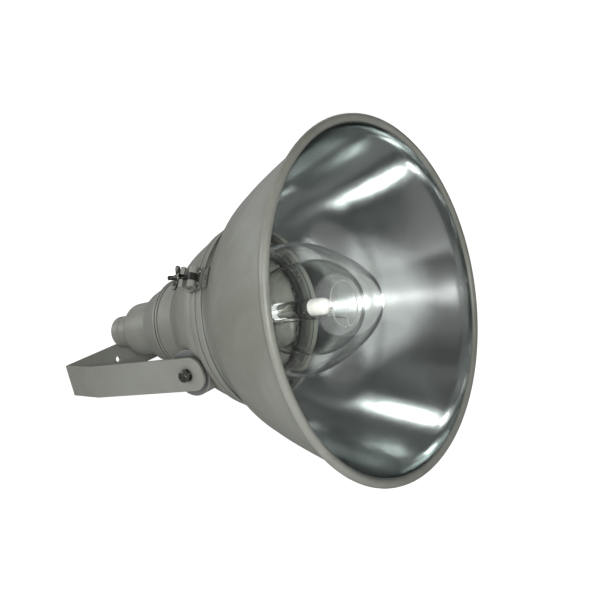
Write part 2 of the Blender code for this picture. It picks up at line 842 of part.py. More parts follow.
def make_lamp_frame(parent):
    """One bent wire: from the stem along the arc tube, then a ring that springs in the bulb's nose."""
    ring = []
    for step in range(21):
        turn = math.radians(-90 + 346 * step / 20)
        x, z = spring_ring_radius * math.cos(turn), spring_ring_radius * math.sin(turn)
        ring.append((x, spring_ring_place, z))
    path = [(0, stem_front + frame_foot, -stem_radius - wire_radius - gap),
            (0, stem_front + frame_bend, -(stem_radius + frame_offset) / 2),
            (0, stem_front - frame_bend, -frame_offset), (0, arc_front - frame_bend, -frame_offset), *ring]
    piece("lamp_frame", Shape().tube(path, wire_radius, sides=6), "steel", parent)
    reach = frame_offset - wire_radius - gap
    lead = Shape().rod((0, arc_front + arc_length + gap, 0), (0, stem_front - gap, 0), wire_radius, 6)
    piece("arc_rear_lead", lead, "steel", parent)
    drop = arc_front - wire_radius - 4 * gap
    lead = Shape().tube([(0, arc_front - gap, 0), (0, drop, 0), (0, drop - wire_radius, -2 * wire_radius),
                         (0, drop - wire_radius, -reach)], wire_radius, sides=6)
    piece("arc_front_lead", lead, "steel", parent)


# Lamp holder

def holder_shanks(radius, extra):
    shanks = Shape()
    for side in (-1, 1):
        shanks.rod((side * holder_screw_place, holder_rear - holder_screw_depth - extra, 0),
                   (side * holder_screw_place, step_face - gap + extra, 0), radius)
    return shanks


def make_holder(parent):
    bore = cap_radius + gap + shell_sheet + gap
    floor = holder_rear - holder_base
    outline = [(holder_front, bore), (holder_front, holder_radius), (holder_rear, holder_radius),
               (holder_rear, 0), (floor, 0), (floor, bore)]
    holder = piece("lamp_holder", Shape().turned(outline, steps_medium), "ceramic", parent)
    shaped_by(holder, "DIFFERENCE", holder_shanks(screw_radius + gap, run_out), parent)
    thread = thread_line(cap_front + thread_start, cap_end - thread_stop, cap_radius + gap)
    back = [(y, r + shell_sheet) for y, r in thread]
    mouth = holder_front + holder_lip
    outline = [(mouth, cap_radius + gap + cap_play), *thread[1:], *back[:0:-1], (mouth, bore - gap)]
    piece("holder_shell", Shape().turned(outline, steps_small), "brass", parent)
    contact = Shape().rod((0, cap_end + eyelet_length + gap, 0), (0, floor - gap, 0), contact_radius)
    piece("holder_contact", contact, "brass", parent)
    reach = math.sqrt((cone_end_radius - housing_wall - gap) ** 2 - (bridge_width / 2) ** 2)
    bar = Shape().block((-reach, bridge_front, -bridge_width / 2), (reach, step_face - gap, bridge_width / 2))
    bridge = piece("holder_bridge", bar, "steel", parent)
    shaped_by(bridge, "DIFFERENCE", holder_shanks(screw_radius + gap, run_out), parent)
    holes = Shape()
    for side, name in sides:
        x = side * bridge_screw_place
        holes.rod((x, bridge_front - run_out, 0), (x, step_face + run_out, 0), screw_radius + gap)
        screw = screw_at(Shape(), (x, bridge_front, 0), (0, 1, 0), bridge_thickness + bridge_screw_bite)
        piece(f"bridge_screw_{name}", screw, "steel", parent)
        place = (side * holder_screw_place, step_face - gap, 0)
        screw = screw_at(Shape(), place, (0, -1, 0), bridge_thickness + holder_screw_depth)
        piece(f"holder_screw_{name}", screw, "steel", parent)
    shaped_by(bridge, "DIFFERENCE", holes, parent)
    block = Shape().block((-block_length / 2, step_face, -block_width / 2),
                          (block_length / 2, step_face + block_depth, block_width / 2))
    piece("terminal_block", block, "ceramic", parent)


# Bracket and tilt pivot

def rounded(points, radius, parts):
    """Rounds the corners of an open line of (x, y) points, apart from its ends."""
    line = [points[0]]
    for before, corner, after in zip(points, points[1:], points[2:]):
        here = Vector(corner)
        arm_in = (Vector(before) - here).normalized()
        arm_out = (Vector(after) - here).normalized()
        half = arm_in.angle(arm_out) / 2
        start = here + arm_in * radius / math.tan(half)
        end = here + arm_out * radius / math.tan(half)
        for part in range(parts + 1):
            t = part / parts
            line.append(tuple((1 - t) ** 2 * start + 2 * t * (1 - t) * here + t * t * end))
    return line + [points[-1]]


def make_bracket(parent):
    front = pivot_depth - arm_front
    bend = pivot_depth + arm_length
    half = bracket_half_width
    shift = strap_thickness * math.tan(math.atan2(bend_inset, bend_length) / 2)
    back_shift = strap_thickness * math.tan((math.pi / 2 - math.atan2(bend_inset, bend_length)) / 2)
    outer = [(-half, front), (-half, bend), (-half + bend_inset, bracket_rear),
             (half - bend_inset, bracket_rear), (half, bend), (half, front)]
    wall = strap_thickness
    corner = half - bend_inset - back_shift
    inner = [(-half + wall, front), (-half + wall, bend - shift), (-corner, bracket_rear - wall),
             (corner, bracket_rear - wall), (half - wall, bend - shift), (half - wall, front)]
    outline = rounded(outer, bend_round, 3) + rounded(inner, bend_round - wall, 3)[::-1]
    level = -pivot_drop
    top, foot = level + strap_width / 2, level - strap_width / 2
    stand = Matrix(((0, 1, 0, 0), (0, 0, 1, 0), (1, 0, 0, 0), (0, 0, 0, 1)))
    bracket = piece("bracket", Shape().plate(outline, foot, top, stand), "paint", parent)
    side = arc((front + arm_corner, top - arm_corner), arm_corner, 180, 90, 5)
    side += [(bracket_rear + cut_past, top), (bracket_rear + cut_past, foot)]
    side += arc((front + arm_corner, foot + arm_corner), arm_corner, 270, 180, 5)
    shaped_by(bracket, "INTERSECT", Shape().plate(side, -half - cut_past, half + cut_past), parent)
    holes = Shape()
    holes.rod((-half - cut_past, pivot_depth, level), (half + cut_past, pivot_depth, level),
              bolt_radius + bolt_play, steps_small)
    back_holes = ((0, mount_hole_radius), (-side_hole_place, side_hole_radius),
                  (side_hole_place, side_hole_radius))
    for x, radius in back_holes:
        holes.rod((x, bracket_rear - wall - cut_past, level), (x, bracket_rear + cut_past, level), radius,
                  steps_small)
    shaped_by(bracket, "DIFFERENCE", holes, parent)


def make_pivot(parent):
    hole = bolt_radius + gap
    disc_start = boss_face + gap
    washer_start = bracket_half_width + gap
    spring_start = washer_start + washer_thickness + gap
    head_start = spring_start + spring_washer_thickness + gap
    corner = bolt_head_flats / math.sqrt(3)
    for side, name in sides:
        turn = (Matrix.Translation((0, pivot_depth, -pivot_drop))
                @ Matrix.Rotation(-side * math.pi / 2, 4, "Z"))
        rear = disc_start + disc_thickness
        disc = [(disc_start, hole), (disc_start, disc_radius), (rear - disc_edge, disc_radius),
                (rear, disc_radius - disc_edge), (rear, hole)]
        piece(f"tilt_disc_{name}", Shape().turned(disc, steps_medium, turn), "dark_paint", parent)
        washer = [(washer_start, hole), (washer_start, washer_radius),
                  (washer_start + washer_thickness, washer_radius), (washer_start + washer_thickness, hole)]
        piece(f"tilt_washer_{name}", Shape().turned(washer, steps_small, turn), "steel", parent)
        rear = spring_start + spring_washer_thickness
        spring = [(spring_start, hole), (spring_start, spring_washer_radius), (rear, spring_washer_radius),
                  (rear, hole)]
        split = piece(f"spring_washer_{name}", Shape().turned(spring, steps_small, turn), "steel", parent)
        slot = Shape().block((0, spring_start - gap, -spring_washer_split / 2),
                             (2 * spring_washer_radius, rear + gap, spring_washer_split / 2), turn)
        shaped_by(split, "DIFFERENCE", slot, parent)
        shank = [(boss_face - bolt_engagement, 0), (boss_face - bolt_engagement, bolt_radius),
                 (head_start + bolt_head_height / 2, bolt_radius), (head_start + bolt_head_height / 2, 0)]
        bolt = piece(f"tilt_bolt_{name}", Shape().turned(shank, steps_tiny, turn), "steel", parent)
        rear = head_start + bolt_head_height
        head = [(head_start, 0), (head_start, corner), (rear - disc_edge / 2, corner),
                (rear, corner - disc_edge), (rear, 0)]
        shaped_by(bolt, "UNION", Shape().turned(head, 6, turn), parent)


# Latch

latch_turn = around(math.pi - latch_angle)


def about_pin(radius, angle):
    return latch_pin_depth + radius * math.cos(angle), latch_pin_radius + radius * math.sin(angle)


def base_screw_holes():
    holes = Shape()
    y = base_screw_depth
    for x in (-base_screw_place, base_screw_place):
        top = Vector((x, y, ring_radius(y) + cut_past))
        end = Vector((x, y, ring_radius(y) - ring_wall - run_out))
        holes.rod(latch_turn @ top, latch_turn @ end, screw_radius + gap)
    return holes


def catch_screw_holes():
    holes = Shape()
    y = catch_screw_depth
    for x in (-catch_screw_place, catch_screw_place):
        top = Vector((x, y, ring_radius(y) + cut_past))
        end = Vector((x, y, ring_radius(y) - catch_screw_bite - run_out))
        holes.rod(latch_turn @ top, latch_turn @ end, screw_radius + gap)
    return holes


def latch_bar(radius, half):
    ends = [latch_turn @ Vector((side * half, latch_pin_depth, latch_pin_radius)) for side in (-1, 1)]
    return Shape().rod(*ends, radius)


def make_latch_base(parent):
    front = base_front
    rear = ring_rear - gap
    half = knuckle_space / 2 + knuckle_width
    outline = [(front, ring_radius(front) + gap), (rear, ring_radius(rear) + gap),
               (rear, ring_radius(rear) + gap + base_rise), (front, ring_radius(front) + gap + base_rise)]
    plate = Shape().plate(outline, -half - base_margin, half + base_margin, latch_turn)
    base = piece("latch_base", plate, "paint", parent)
    ears = Shape()
    lift = gap + base_rise / 2
    ear_rear, ear_front = rear - base_margin, latch_pin_depth - knuckle_radius
    outline = [(ear_rear, ring_radius(ear_rear) + lift), (ear_front, ring_radius(ear_front) + lift),
               *arc((latch_pin_depth, latch_pin_radius), knuckle_radius, 190, -10, 9)]
    for side in (-1, 1):
        low, high = sorted((side * knuckle_space / 2, side * half))
        ears.plate(outline, low, high, latch_turn)
    shaped_by(base, "UNION", ears, parent)
    shaped_by(base, "DIFFERENCE", latch_bar(pin_radius + gap, half + cut_past), parent)
    shaped_by(base, "DIFFERENCE", base_screw_holes(), parent)
    piece("latch_pin", latch_bar(pin_radius, half + latch_pin_end), "steel", parent)
    down = latch_turn @ Vector((0, 0, -1))
    for side, name in sides:
        y = base_screw_depth
        level = ring_radius(front) + gap + base_rise
        face = Vector((side * base_screw_place, y, level))
        screw = screw_at(Shape(), latch_turn @ face, down, base_rise + ring_wall * 0.8, head=base_screw_head)
        piece(f"base_screw_{name}", screw, "steel", parent)


def make_pad(parent):
    """A raised pad on the bell in front of the ring, with its screw in a pocket."""
    rear = ring_front - pad_space
    front = rear - pad_length
    line = bell_line()
    foot = [(y, read_line(line, y) + pad_lift) for y in (front, rear)]
    outline = [*foot, (rear, foot[1][1] + pad_rise * 2), (front, foot[0][1] + pad_rise)]
    plate = Shape().plate(outline, -pad_width / 2, pad_width / 2, latch_turn)
    pad = piece("latch_pad", plate, "paint", parent)
    middle = (front + rear) / 2
    top = read_line(line, middle) + pad_lift + pad_rise * 1.5
    pocket = Shape().block((-pocket_width / 2, middle - pocket_length / 2, top - pad_rise * 0.7),
                           (pocket_width / 2, middle + pocket_length / 2, top + cut_past), latch_turn)
    shaped_by(pad, "DIFFERENCE", pocket, parent)


def make_catch(parent):
    high = latch_lean + catch_rise
    low = latch_lean - catch_fall
    steps = [high + (low - high) * step / 6 for step in range(7)]
    rear_face = [about_pin(catch_reach, angle) for angle in steps]
    front_face = [about_pin(catch_reach - catch_thickness, angle) for angle in steps]
    front = housing_front + catch_margin
    rear = flange_rear - gap
    foot = ring_radius(front) + gap + catch_foot
    outline = [*rear_face, (rear, ring_radius(rear) + gap), (front, ring_radius(front) + gap), (front, foot),
               (front_face[-1][0], foot), *front_face[::-1]]
    plate = Shape().plate(outline, -catch_width / 2, catch_width / 2, latch_turn)
    catch = piece("latch_catch", plate, "paint", parent)
    slot_half = eye_bolt_radius + catch_slot_play
    lean = (latch_turn @ Matrix.Translation((0, latch_pin_depth, latch_pin_radius))
            @ Matrix.Rotation(latch_lean, 4, "X"))
    slot = Shape().block((-slot_half, catch_root, -slot_half),
                         (slot_half, catch_reach + cut_past, catch_width), lean)
    shaped_by(catch, "DIFFERENCE", slot, parent)
    shaped_by(catch, "DIFFERENCE", catch_screw_holes(), parent)
    down = latch_turn @ Vector((0, 0, -1))
    for side, name in sides:
        face = Vector((side * catch_screw_place, catch_screw_depth, foot))
        screw = screw_at(Shape(), latch_turn @ face, down, catch_foot + catch_screw_bite,
                         head=clip_screw_head)
        piece(f"catch_screw_{name}", screw, "steel", parent)


def make_eye_bolt(parent):
    """The bolt that swings on the latch pin; its own y runs along the bolt, away from the pin."""
    width = knuckle_space - 4 * gap
    eye = Shape().rod((-width / 2, 0, 0), (width / 2, 0, 0), knuckle_radius, steps_small)
    bolt = piece("eye_bolt", eye, "black_steel", parent)
    shaped_by(bolt, "UNION", Shape().rod((0, 0, 0), (0, eye_bolt_length, 0), eye_bolt_radius), parent)
    shaped_by(bolt, "DIFFERENCE", Shape().rod((-width, 0, 0), (width, 0, 0), pin_radius + gap), parent)


def make_wing_nut(slider, spinner):
    start = catch_reach + gap
    end = start + latch_washer_thickness
    hole = eye_bolt_radius + gap
    washer = [(start, hole), (start, latch_washer_radius), (end, latch_washer_radius), (end, hole)]
    piece("latch_washer", Shape().turned(washer, steps_small), "steel", slider)
    start = end + gap
    end = start + nut_length
    body = [(start, hole), (start, nut_radius), (end, nut_radius * 0.85), (end, hole)]
    nut = piece("wing_nut", Shape().turned(body, steps_small), "black_steel", spinner)
    wings = Shape()
    for side in (-1, 1):
        x0, x1, x2 = [side * (nut_radius + share * wing_length) for share in (-0.1, 0.6, 1)]
        outline = [(start + nut_length * share, x)
                   for share, x in ((0.15, x0), (0.2, x1), (0.5, x2), (1.3, x2), (1.35, x1), (0.9, x0))]
        wings.plate(outline, -wing_thickness / 2, wing_thickness / 2, Matrix.Rotation(math.pi / 2, 4, "Y"))
    shaped_by(nut, "UNION", wings, spinner)


def main():
    clear_scene()
    down = Vector((bead_radius - pivot_depth, pivot_drop - bead_centre))
    height = down.x * math.sin(tilt) - down.y * math.cos(tilt) + bead_radius
    foremost = down.x * math.cos(tilt) + down.y * math.sin(tilt) - bead_radius
    rearmost = (bracket_rear - pivot_depth) * math.cos(tilt) + strap_width / 2 * math.sin(tilt)
    place = (0, -(foremost + rearmost) / 2, height)
    to_lamp = (0, -pivot_depth, pivot_drop)
    bracket_frame = empty("bracket_frame", place=place, turn=(-tilt, 0, 0))
    bracket_lamp_axes = empty("bracket_lamp_axes", bracket_frame, to_lamp)
    head_tilt = empty("head_tilt", place=place, turn=(-tilt, 0, 0))
    lamp = empty("lamp_axes", head_tilt, to_lamp)
    latch_side = empty("latch_side", lamp, turn=(0, latch_angle - math.pi / 2, 0))
    bolt_swing = empty("bolt_swing", latch_side, (0, latch_pin_depth, latch_pin_radius), (latch_lean, 0, 0))
    washer_slide = empty("washer_slide", bolt_swing)
    nut_spin = empty("nut_spin", washer_slide)
    make_bracket(bracket_lamp_axes)
    for make in (make_shell, make_liner, make_ring, make_housing, make_rear_housing, make_gland, make_carrier,
                 make_dome, make_lamp, make_holder, make_pivot, make_latch_base, make_pad, make_catch):
        make(lamp)
    piece("hinge_pin", hinge_bar(pin_radius, hinge_pin_end), "steel", lamp)
    make_eye_bolt(bolt_swing)
    make_wing_nut(washer_slide, nut_spin)


main()
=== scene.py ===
import json
import math

import bmesh
import bpy
from mathutils import Matrix, Vector


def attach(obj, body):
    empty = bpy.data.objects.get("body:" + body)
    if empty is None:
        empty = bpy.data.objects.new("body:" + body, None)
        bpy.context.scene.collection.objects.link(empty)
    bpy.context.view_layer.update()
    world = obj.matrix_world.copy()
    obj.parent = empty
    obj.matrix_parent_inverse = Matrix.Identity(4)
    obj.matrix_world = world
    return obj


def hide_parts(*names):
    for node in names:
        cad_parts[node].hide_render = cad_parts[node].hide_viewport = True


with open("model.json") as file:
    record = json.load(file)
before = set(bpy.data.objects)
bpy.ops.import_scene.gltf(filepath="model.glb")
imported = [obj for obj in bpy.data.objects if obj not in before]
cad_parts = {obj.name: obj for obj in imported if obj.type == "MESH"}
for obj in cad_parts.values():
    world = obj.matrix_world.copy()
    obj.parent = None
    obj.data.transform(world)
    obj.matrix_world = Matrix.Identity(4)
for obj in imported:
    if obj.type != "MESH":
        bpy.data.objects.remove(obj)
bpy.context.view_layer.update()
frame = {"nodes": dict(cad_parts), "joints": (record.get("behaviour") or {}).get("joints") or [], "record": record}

print("frame:", len(frame["nodes"]), "nodes")

# The lamp's own frame: y runs back from the plane of the mouth, z up across the lamp, x to the hinge's side.
# It stands on the tilt pivot, leaning back as the bracket's rear face does.
pivot = {"depth": 0.3045, "drop": 0.051}
pivotPlace = Vector(next(joint["pos_m"] for joint in frame["joints"] if joint["name"] == "head_tilt"))
mounts = frame["record"]["mounts"]
rearWay = Vector(next(mount["axis"] for mount in mounts if mount["name"] == "bracket_back"))
leanBack = math.atan2(-rearWay.z, rearWay.y)
lampPlace = (Matrix.Translation(pivotPlace) @ Matrix.Rotation(-leanBack, 4, "X")
             @ Matrix.Translation((0, -pivot["depth"], pivot["drop"])))
gap = 0.0003        # between pieces that meet
cutPast = 0.01      # how far a cutter runs out of what it cuts
overlap = 0.001     # how far a shape runs into the one that it is joined to

# The bracket's strap and the housing's two bosses, which the tilt bolts join
strap = {"halfWidth": 0.146, "width": 0.055, "thickness": 0.0056, "armFront": 0.0335, "armLength": 0.226,
         "armCorner": 0.024, "bendLength": 0.0985, "bendInset": 0.0258, "bendRound": 0.012,
         "mountHole": 0.0055, "sideHole": 0.0065, "sidePlace": 0.080, "boltHole": 0.0055, "clearance": 0.0015,
         "side": 0.0008, "edge": 0.0007, "holeSteps": 48}
boss = {"radius": 0.0385, "root": 0.085, "rib": 0.030, "ribInset": 0.006, "ribRoot": 0.115, "bolt": 0.005,
        "discRadius": 0.026, "disc": 0.003, "edge": 0.0012, "darkEndInset": 0.0006, "steps": 96}
boss["face"] = strap["halfWidth"] - strap["thickness"] - 2 * gap - boss["disc"]
bothSides = ((-1, "Left"), (1, "Right"))


# Meshes

class Draft:
    # closed solids drawn into one mesh
    def __init__(self):
        self.mesh = bmesh.new()

    def done(self):
        bmesh.ops.recalc_face_normals(self.mesh, faces=self.mesh.faces)
        made = bpy.data.meshes.new("draft")
        self.mesh.to_mesh(made)
        self.mesh.free()
        return made

    def moved(self, verts, place):
        if place is not None:
            bmesh.ops.transform(self.mesh, matrix=place, verts=verts)
        return self

    def sides(self, here, there):
        # faces between two rings of as many points
        for index in range(len(here)):
            after = (index + 1) % len(here)
            self.mesh.faces.new((here[index], here[after], there[after], there[index]))

    def turned(self, outline, steps, place=None):
        # a closed outline of (y, r) points, turned about the y axis
        rings = []
        for y, r in outline:
            count = 1 if r < 1e-7 else steps
            turns = [math.tau * step / count for step in range(count)]
            rings.append([self.mesh.verts.new((r * math.cos(turn), y, r * math.sin(turn))) for turn in turns])
        for here, there in zip(rings, rings[1:] + rings[:1]):
            if len(here) == 1 and len(there) == 1:
                continue
            for step in range(steps):
                after = (step + 1) % steps
                corners = [here[step % len(here)], here[after % len(here)],
                           there[after % len(there)], there[step % len(there)]]
                self.mesh.faces.new(dict.fromkeys(corners))
        return self.moved([vert for ring in rings for vert in ring], place)

    def rod(self, start, end, radius, steps=32, radiusAtEnd=None):
        start, end = Vector(start), Vector(end)
        along = end - start
        turn = along.to_track_quat("Z", "Y").to_matrix().to_4x4()
        bmesh.ops.create_cone(self.mesh, cap_ends=True, segments=steps, radius1=radius,
                              radius2=radius if radiusAtEnd is None else radiusAtEnd,
                              depth=along.length, matrix=Matrix.Translation((start + end) / 2) @ turn)
        return self

    def block(self, low, high, place=Matrix()):
        size = [top - foot for foot, top in zip(low, high)]
        middle = [(top + foot) / 2 for foot, top in zip(low, high)]
        fit = Matrix.Translation(middle) @ Matrix.Diagonal((*size, 1))
        bmesh.ops.create_cube(self.mesh, size=1, matrix=place @ fit)
        return self

    def slab(self, outline, low, high, place=None):
        # an outline of (y, z) points, drawn out along x
        near, far = ([self.mesh.verts.new((x, y, z)) for y, z in outline] for x in (low, high))
        self.mesh.faces.new(near)
        self.mesh.faces.new(far)
        self.sides(near, far)
        return self.moved(near + far, place)

    def wire(self, path, radius, sides=12):
        points = [Vector(point) for point in path]
        turns = [math.tau * side / sides for side in range(sides)]
        circle = [(math.cos(turn), math.sin(turn)) for turn in turns]
        rings = []
        normal = None
        for index, point in enumerate(points):
            along = (points[min(index + 1, len(points) - 1)] - points[max(index - 1, 0)]).normalized()
            normal = along.orthogonal() if normal is None else normal
            normal = (normal - along * normal.dot(along)).normalized()
            across = along.cross(normal)
            rings.append([self.mesh.verts.new(point + radius * (normal * u + across * v)) for u, v in circle])
        for here, there in zip(rings, rings[1:]):
            self.sides(here, there)
        self.mesh.faces.new(rings[0])
        self.mesh.faces.new(rings[-1])
        return self


def reshaped(mesh, operation, draft):
    # joins a draft to a mesh, or cuts it out
    items = [bpy.data.objects.new(name, data) for name, data in (("work", mesh), ("tool", draft.done()))]
    for item in items:
        bpy.context.scene.collection.objects.link(item)
    step = items[0].modifiers.new("shape", "BOOLEAN")
    step.operation, step.solver, step.object = operation, "EXACT", items[1]
    graph = bpy.context.evaluated_depsgraph_get()
    graph.update()
    made = bpy.data.meshes.new_from_object(items[0].evaluated_get(graph))
    for item in items:
        bpy.data.objects.remove(item)
    return made


def smoothThrough(points, parts):
    # a curve through points, with a number of parts in each span
    first = tuple(2 * a - b for a, b in zip(points[0], points[1]))
    last = tuple(2 * a - b for a, b in zip(points[-1], points[-2]))
    chain = [first, *points, last]
    curve = []
    for span in zip(chain, chain[1:], chain[2:], chain[3:]):
        for part in range(parts):
            t = part / parts
            curve.append(tuple(0.5 * (2 * b + (c - a) * t + (2 * a - 5 * b + 4 * c - d) * t * t
                                      + (3 * b - a - 3 * c + d) * t ** 3)
                               for a, b, c, d in zip(*span)))
    return curve + [points[-1]]


def arc(centre, radius, start, end, parts):
    # angles in degrees, from +y towards +r
    turns = [math.radians(start + (end - start) * part / parts) for part in range(parts + 1)]
    return [(centre[0] + radius * math.cos(turn), centre[1] + radius * math.sin(turn)) for turn in turns]


def bend(start, turn, end, parts):
    # a curve from start to end that leaves and arrives along the lines to turn
    return [tuple((1 - t) ** 2 * a + 2 * t * (1 - t) * b + t * t * c for a, b, c in zip(start, turn, end))
            for t in [part / parts for part in range(parts + 1)]]


def readLine(line, y):
    for (y0, r0), (y1, r1) in zip(line, line[1:]):
        if y0 <= y <= y1:
            return r0 + (r1 - r0) * (y - y0) / (y1 - y0)
    return line[0][1] if y < line[0][0] else line[-1][1]


def inside(line, depth):
    # a line moved towards the axis by a wall's thickness
    moved = []
    for index, (y, r) in enumerate(line):
        y0, r0 = line[max(index - 1, 0)]
        y1, r1 = line[min(index + 1, len(line) - 1)]
        moved.append((y, r - depth * math.sqrt(1 + ((r1 - r0) / (y1 - y0)) ** 2)))
    return moved


def band(front, rear, bore, radius, rearRadius=None):
    # the outline of a plain ring, or of a plug where its bore is 0
    return [(front, bore), (front, radius), (rear, rearRadius or radius), (rear, bore)]


def roundedCorner(here, back, onward, reach, parts):
    # a curve that starts a reach before a corner and ends as far behind it
    reach = min(reach, 0.45 * back.length, 0.45 * onward.length)
    return bend(here + back.normalized() * reach, here, here + onward.normalized() * reach, parts)


def softened(outline, radius, parts=3, closed=True, least=18):
    # rounds the corners that are sharper than a number of degrees, except on the axis
    line = []
    for index, corner in enumerate(outline):
        here = Vector(corner)
        back = Vector(outline[index - 1]) - here
        onward = Vector(outline[(index + 1) % len(outline)]) - here
        isEnd = not closed and index in (0, len(outline) - 1)
        if isEnd or min(back.length, onward.length) < 1e-9 or here.y < 1e-7:
            line.append(corner)
            continue
        half = back.angle(onward) / 2
        if 180 - math.degrees(2 * half) < least:
            line.append(corner)
        else:
            line += roundedCorner(here, back, onward, radius / math.tan(half), parts)
    return line


def around(angle):
    # turns a shape about the lamp's axis, so that its +z points outwards at an angle
    return Matrix.Rotation(angle - math.pi / 2, 4, Vector((0, -1, 0)))


# Shader nodes, and groups of them that several materials use

def feed(tree, socket, source):
    # a socket takes a value, another socket's output or a node's first output
    if isinstance(source, bpy.types.Node):
        source = source.outputs[0]
    if isinstance(source, bpy.types.NodeSocket):
        tree.links.new(source, socket)
    else:
        socket.default_value = source


def addNode(tree, kind, sources=(), **settings):
    node = tree.nodes.new("ShaderNode" + kind)
    for key, value in settings.items():
        setattr(node, key, value)
    for key, source in dict(sources).items():
        feed(tree, node.inputs[key], source)
    return node


def compute(tree, operation, first, second=0.0, clamp=False):
    return addNode(tree, "Math", {0: first, 1: second}, operation=operation, use_clamp=clamp)


def mixValues(tree, share, first, second):
    return addNode(tree, "Mix", {0: share, 2: first, 3: second}, data_type="FLOAT")


def mixColors(tree, share, first, second, **settings):
    # each colour is a triple or an output
    first, second = ((*color, 1) if isinstance(color, tuple) else color for color in (first, second))
    mixed = addNode(tree, "Mix", {0: share, "A": first, "B": second}, data_type="RGBA", **settings)
    return mixed.outputs["Result"]


def newGroup(name, output, inputs):
    # gives the group, its inputs, the socket that its result goes to and the place on the object
    group = bpy.data.node_groups.new(name, "ShaderNodeTree")
    for label, value in inputs.items():
        socket = group.interface.new_socket(label, in_out="INPUT", socket_type="NodeSocketFloat")
        socket.default_value = value
    group.interface.new_socket(output, in_out="OUTPUT", socket_type="NodeSocketFloat")
    entry, result = group.nodes.new("NodeGroupInput"), group.nodes.new("NodeGroupOutput")
    return group, entry.outputs, result.inputs[output], addNode(group, "TexCoord").outputs["Object"]


def addNoise(tree, place, scale, detail, roughness=0.5, **more):
    return addNode(tree, "TexNoise", {"Vector": place, "Scale": scale, "Detail": detail,
                                      "Roughness": roughness, **more})


def makeGrain():
    # fine pebbling, as of enamel, rubber or a casting under its paint
    group, entry, height, place = newGroup("fineGrain", "Height",
                                           {"Scale": 900.0, "Soft Scale": 60.0, "Soft Share": 0.4})
    fine = addNoise(group, place, entry["Scale"], 3.0, 0.55)
    broad = addNoise(group, place, entry["Soft Scale"], 2.0)
    feed(group, height, mixValues(group, entry["Soft Share"], fine, broad))
    return group


def makeDust():
    # soft patches of dust and handling, a little more of them on faces that look up
    group, entry, mask, place = newGroup("dustAndHandling", "Mask",
                                         {"Scale": 9.0, "Amount": 0.5, "Settled": 0.3})
    cloud = addNoise(group, place, entry["Scale"], 6.0, 0.62, Distortion=0.6)
    patches = addNode(group, "MapRange", {"Value": cloud, "From Min": 0.36, "From Max": 0.70})
    facing = addNode(group, "SeparateXYZ", {0: addNode(group, "NewGeometry").outputs["Normal"]})
    upward = compute(group, "MAXIMUM", facing.outputs["Z"], 0.0)
    settled = compute(group, "MULTIPLY", upward, entry["Settled"])
    strength = compute(group, "MULTIPLY", patches, entry["Amount"])
    feed(group, mask, compute(group, "ADD", strength, settled, clamp=True))
    return group


def makeSpunLines():
    # rings left by the spinning tool, which follow the lamp's axis
    group, entry, height, place = newGroup("spunLines", "Height", {"Scale": 900.0})
    along = addNode(group, "SeparateXYZ", {0: place}).outputs["Y"]
    lines = {"W": along, "Scale": entry["Scale"], "Detail": 2.0}
    feed(group, height, addNode(group, "TexNoise", lines, noise_dimensions="1D"))
    return group


def makeWornEdges():
    # bright along outer edges, broken up by noise
    group, entry, mask, place = newGroup("wornEdges", "Mask", {"Scale": 60.0, "From": 0.53, "To": 0.60})
    cloud = addNoise(group, place, entry["Scale"], 5.0, 0.7)
    edge = addNode(group, "MapRange", {"Value": addNode(group, "NewGeometry").outputs["Pointiness"],
                                       "From Min": entry["From"], "From Max": entry["To"]})
    feed(group, mask, compute(group, "MULTIPLY", edge, cloud, clamp=True))
    return group


groups = {"grain": makeGrain(), "dust": makeDust(), "spun": makeSpunLines(), "worn": makeWornEdges()}
